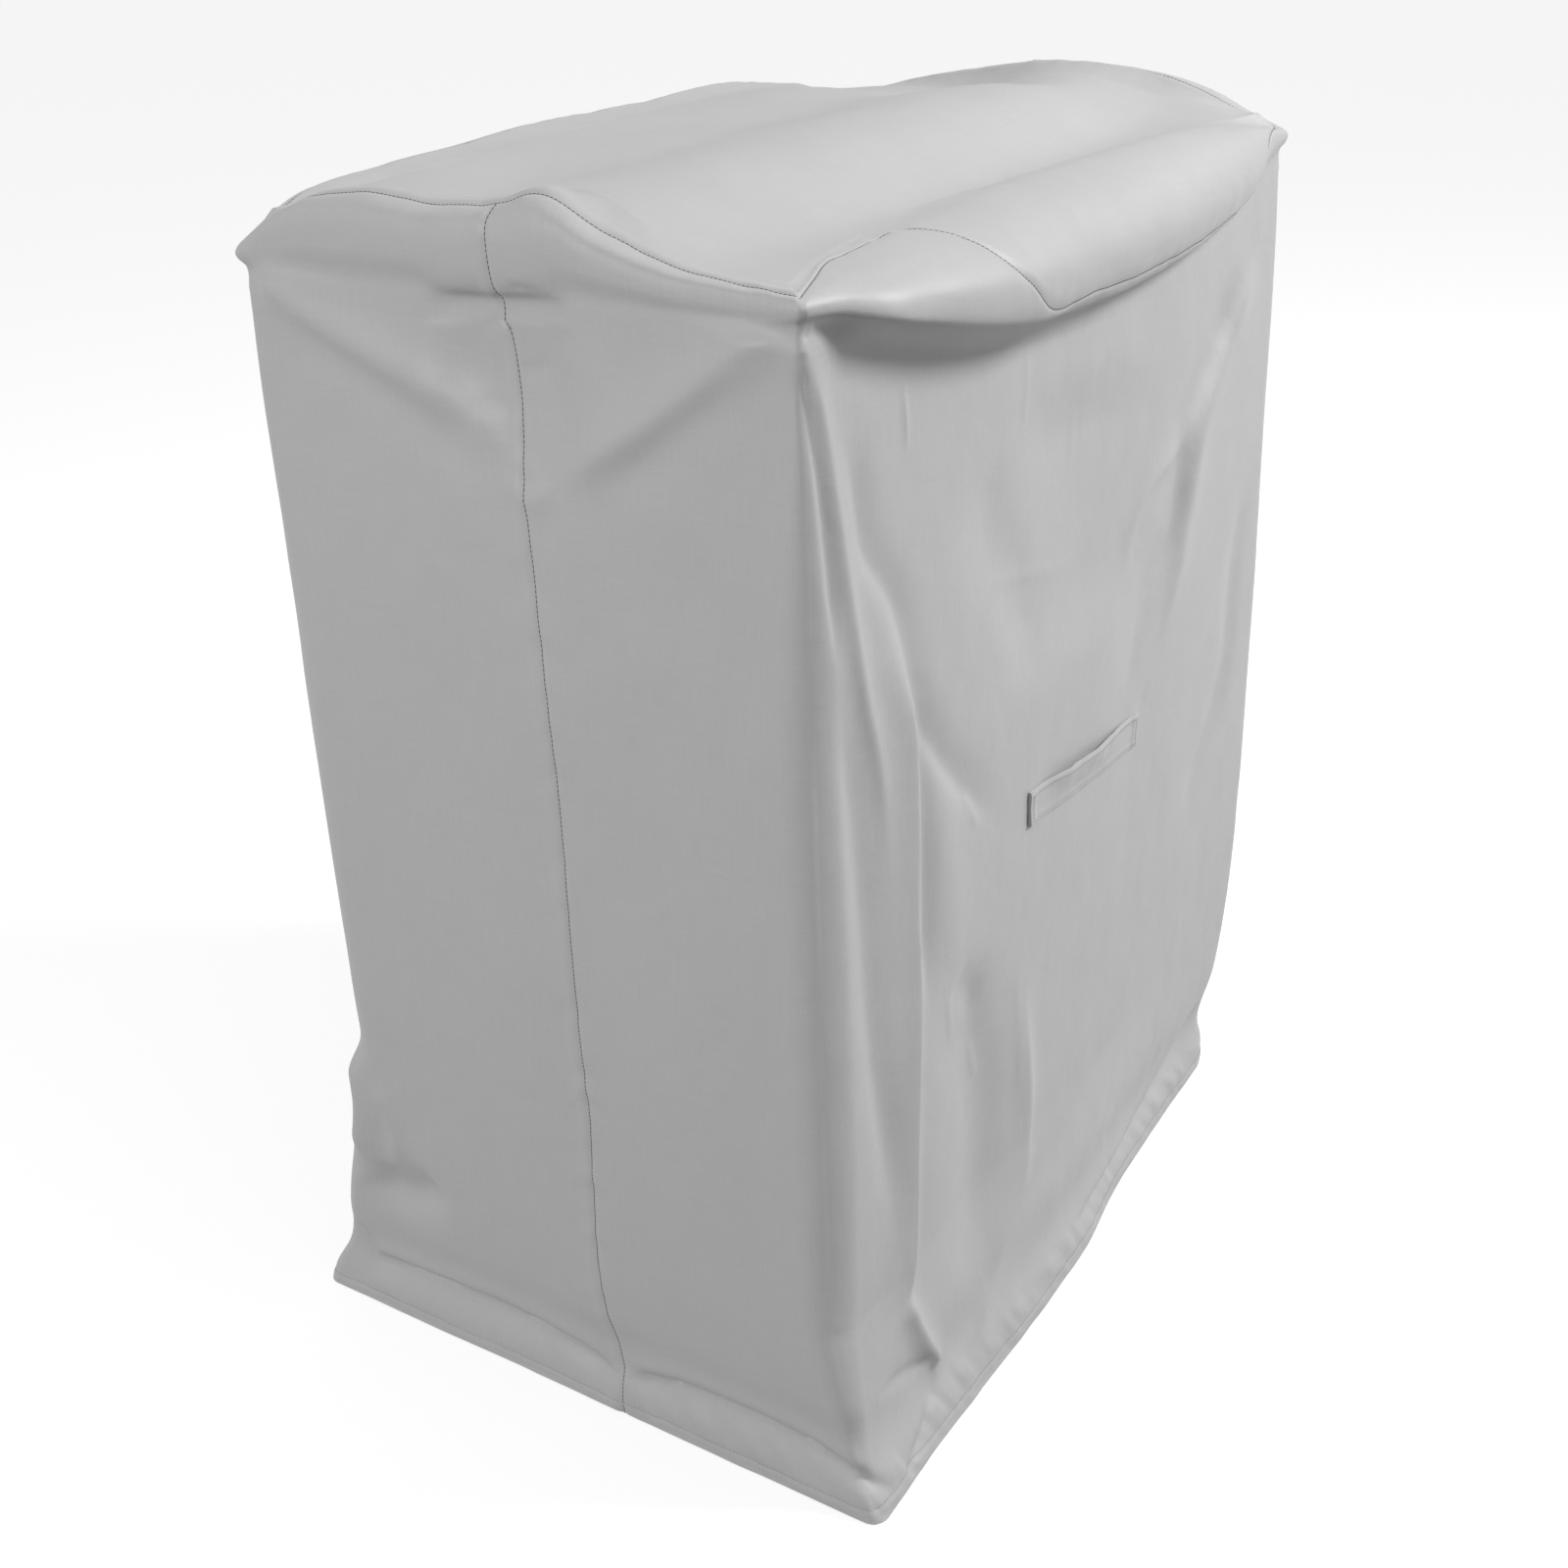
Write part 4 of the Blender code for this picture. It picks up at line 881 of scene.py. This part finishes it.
def thread_finish(name, tone):
    """Spun thread: matt, with twisted strands."""
    finish = bpy.data.materials.new(name)
    finish.use_nodes = True
    tree = finish.node_tree
    shader = tree.nodes["Principled BSDF"]
    shader.inputs["Roughness"].default_value = 0.75
    place = tree.nodes.new("ShaderNodeTexCoord")
    strands = tree.nodes.new("ShaderNodeTexNoise")
    strands.inputs["Scale"].default_value = 2600.0
    shade = tree.nodes.new("ShaderNodeMapRange")
    for number, value in enumerate((0.3, 0.7, 0.75, 1.25), 1):
        shade.inputs[number].default_value = value
    colour = tree.nodes.new("ShaderNodeVectorMath")
    colour.operation = "SCALE"
    colour.inputs[0].default_value = tone
    raised = tree.nodes.new("ShaderNodeBump")
    raised.inputs["Strength"].default_value = 0.4
    raised.inputs["Distance"].default_value = 0.0002
    tree.links.new(place.outputs["Object"], strands.inputs["Vector"])
    tree.links.new(strands.outputs[0], shade.inputs[0])
    tree.links.new(shade.outputs[0], colour.inputs["Scale"])
    tree.links.new(colour.outputs[0], shader.inputs["Base Color"])
    tree.links.new(strands.outputs[0], raised.inputs["Height"])
    tree.links.new(raised.outputs[0], shader.inputs["Normal"])
    return finish


def stitching(name, finish):
    """A tree that lays stitches along lines whose points carry their outward directions."""
    tree = bpy.data.node_groups.new(name, "GeometryNodeTree")
    tree.interface.new_socket("Seam line", in_out="INPUT", socket_type="NodeSocketGeometry")
    for label, size in (("Pitch", STITCH_PITCH), ("Stitch length", STITCH_LENGTH), ("Thread", THREAD)):
        tree.interface.new_socket(label, in_out="INPUT", socket_type="NodeSocketFloat").default_value = size
    tree.interface.new_socket("Stitches", in_out="OUTPUT", socket_type="NodeSocketGeometry")
    given = tree.nodes.new("NodeGroupInput")
    line = tree.nodes.new("GeometryNodeMeshToCurve")
    spaced = tree.nodes.new("GeometryNodeResampleCurve")
    spaced.mode = "LENGTH"
    stitch = tree.nodes.new("GeometryNodeMeshUVSphere")
    stitch.inputs["Segments"].default_value = 6
    stitch.inputs["Rings"].default_value = 4
    stitch.inputs["Radius"].default_value = 0.5
    tangent = tree.nodes.new("GeometryNodeInputTangent")
    outward = tree.nodes.new("GeometryNodeInputNamedAttribute")
    outward.data_type = "FLOAT_VECTOR"
    outward.inputs["Name"].default_value = "outward"
    turn = tree.nodes.new("FunctionNodeAxesToRotation")
    turn.primary_axis, turn.secondary_axis = "X", "Z"
    size = tree.nodes.new("ShaderNodeCombineXYZ")
    laid = tree.nodes.new("GeometryNodeInstanceOnPoints")
    real = tree.nodes.new("GeometryNodeRealizeInstances")
    coloured = tree.nodes.new("GeometryNodeSetMaterial")
    coloured.inputs["Material"].default_value = finish
    result = tree.nodes.new("NodeGroupOutput")
    join = tree.links.new
    join(given.outputs["Seam line"], line.inputs["Mesh"])
    join(line.outputs["Curve"], spaced.inputs["Curve"])
    join(given.outputs["Pitch"], spaced.inputs["Length"])
    join(spaced.outputs["Curve"], laid.inputs["Points"])
    join(stitch.outputs["Mesh"], laid.inputs["Instance"])
    join(tangent.outputs[0], turn.inputs[0])
    join(outward.outputs["Attribute"], turn.inputs[1])
    join(turn.outputs[0], laid.inputs["Rotation"])
    join(given.outputs["Stitch length"], size.inputs["X"])
    join(given.outputs["Thread"], size.inputs["Y"])
    join(given.outputs["Thread"], size.inputs["Z"])
    join(size.outputs[0], laid.inputs["Scale"])
    join(laid.outputs["Instances"], real.inputs["Geometry"])
    join(real.outputs["Geometry"], coloured.inputs["Geometry"])
    join(coloured.outputs["Geometry"], result.inputs[0])
    return tree


def sew(name, lines, finish, pitch, length, thread):
    """Stitches along lines of points and outward directions, as one plain mesh."""
    points, outs, edges = [], [], []
    for line, away, closed in lines:
        first = len(points)
        points += (line + away * 0.0002).tolist()
        outs += away.tolist()
        edges += [(first + k, first + k + 1) for k in range(len(line) - 1)]
        if closed:
            edges.append((first + len(line) - 1, first))
    mesh = bpy.data.meshes.new(name)
    mesh.from_pydata(points, edges, [])
    mesh.attributes.new("outward", "FLOAT_VECTOR", "POINT").data.foreach_set("vector", np.ravel(outs))
    made = bpy.data.objects.new(name, mesh)
    bpy.context.scene.collection.objects.link(made)
    tree = stitching(name + "_tree", finish)
    modifier = made.modifiers.new("stitches", "NODES")
    modifier.node_group = tree
    sizes = {"Pitch": pitch, "Stitch length": length, "Thread": thread}
    for item in tree.interface.items_tree:
        if item.name in sizes:
            modifier[item.identifier] = sizes[item.name]
    evaluated = made.evaluated_get(bpy.context.evaluated_depsgraph_get())
    plain = bpy.data.meshes.new_from_object(evaluated)
    made.modifiers.clear()
    made.data = plain
    plain.name = name
    plain.shade_smooth()
    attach(made, "root")
    return made


dark_thread = thread_finish("dark thread", (0.085, 0.087, 0.090))
pale_thread = thread_finish("pale thread", (0.300, 0.302, 0.305))
end_lines = [
    (lowered[column, : SEAM_ROW + 1], cloth_normals[column, : SEAM_ROW + 1], False)
    for column in (LEFT_SEAM, RIGHT_SEAM)
]
hem_rows = np.array([np.interp(HEM_STITCH, cloth[c, :12, 2], np.arange(12)) for c in range(COLUMNS)])
low, part = hem_rows.astype(int), (hem_rows % 1)[:, None]
every = np.arange(COLUMNS)
hem_line = lowered[every, low] * (1 - part) + lowered[every, low + 1] * part
end_stitches = sew("end_seam_stitches", end_lines, dark_thread, STITCH_PITCH, STITCH_LENGTH, THREAD)
top_stitches = sew(
    "top_seam_stitches", [(lowered[:, SEAM_ROW], cloth_normals[:, SEAM_ROW], True)],
    dark_thread, STITCH_PITCH, STITCH_LENGTH, THREAD,
)
hem_stitches = sew(
    "hem_stitches", [(hem_line, cloth_normals[every, low], True)], pale_thread, 0.0043, 0.0034, 0.0006
)
box = [(i, 2) for i in range(2, STRAP_STEPS - 1)]
box += [(STRAP_STEPS - 2, j) for j in range(3, STRAP_ROWS - 1)]
box += [(i, STRAP_ROWS - 2) for i in range(STRAP_STEPS - 3, 1, -1)]
box += [(2, j) for j in range(STRAP_ROWS - 3, 2, -1)]
box_line = np.array([strap_points[spot] for spot in box])
box_outs = np.array([strap_outs[spot] for spot in box])
strap_stitches = sew("strap_stitches", [(box_line, box_outs, True)], pale_thread, 0.0036, 0.0029, 0.0005)


dressed_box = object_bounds()
boxes = {"cad": cad_box, "scene": dressed_box}
{name: [list(corner) for corner in box] for name, box in boxes.items()}
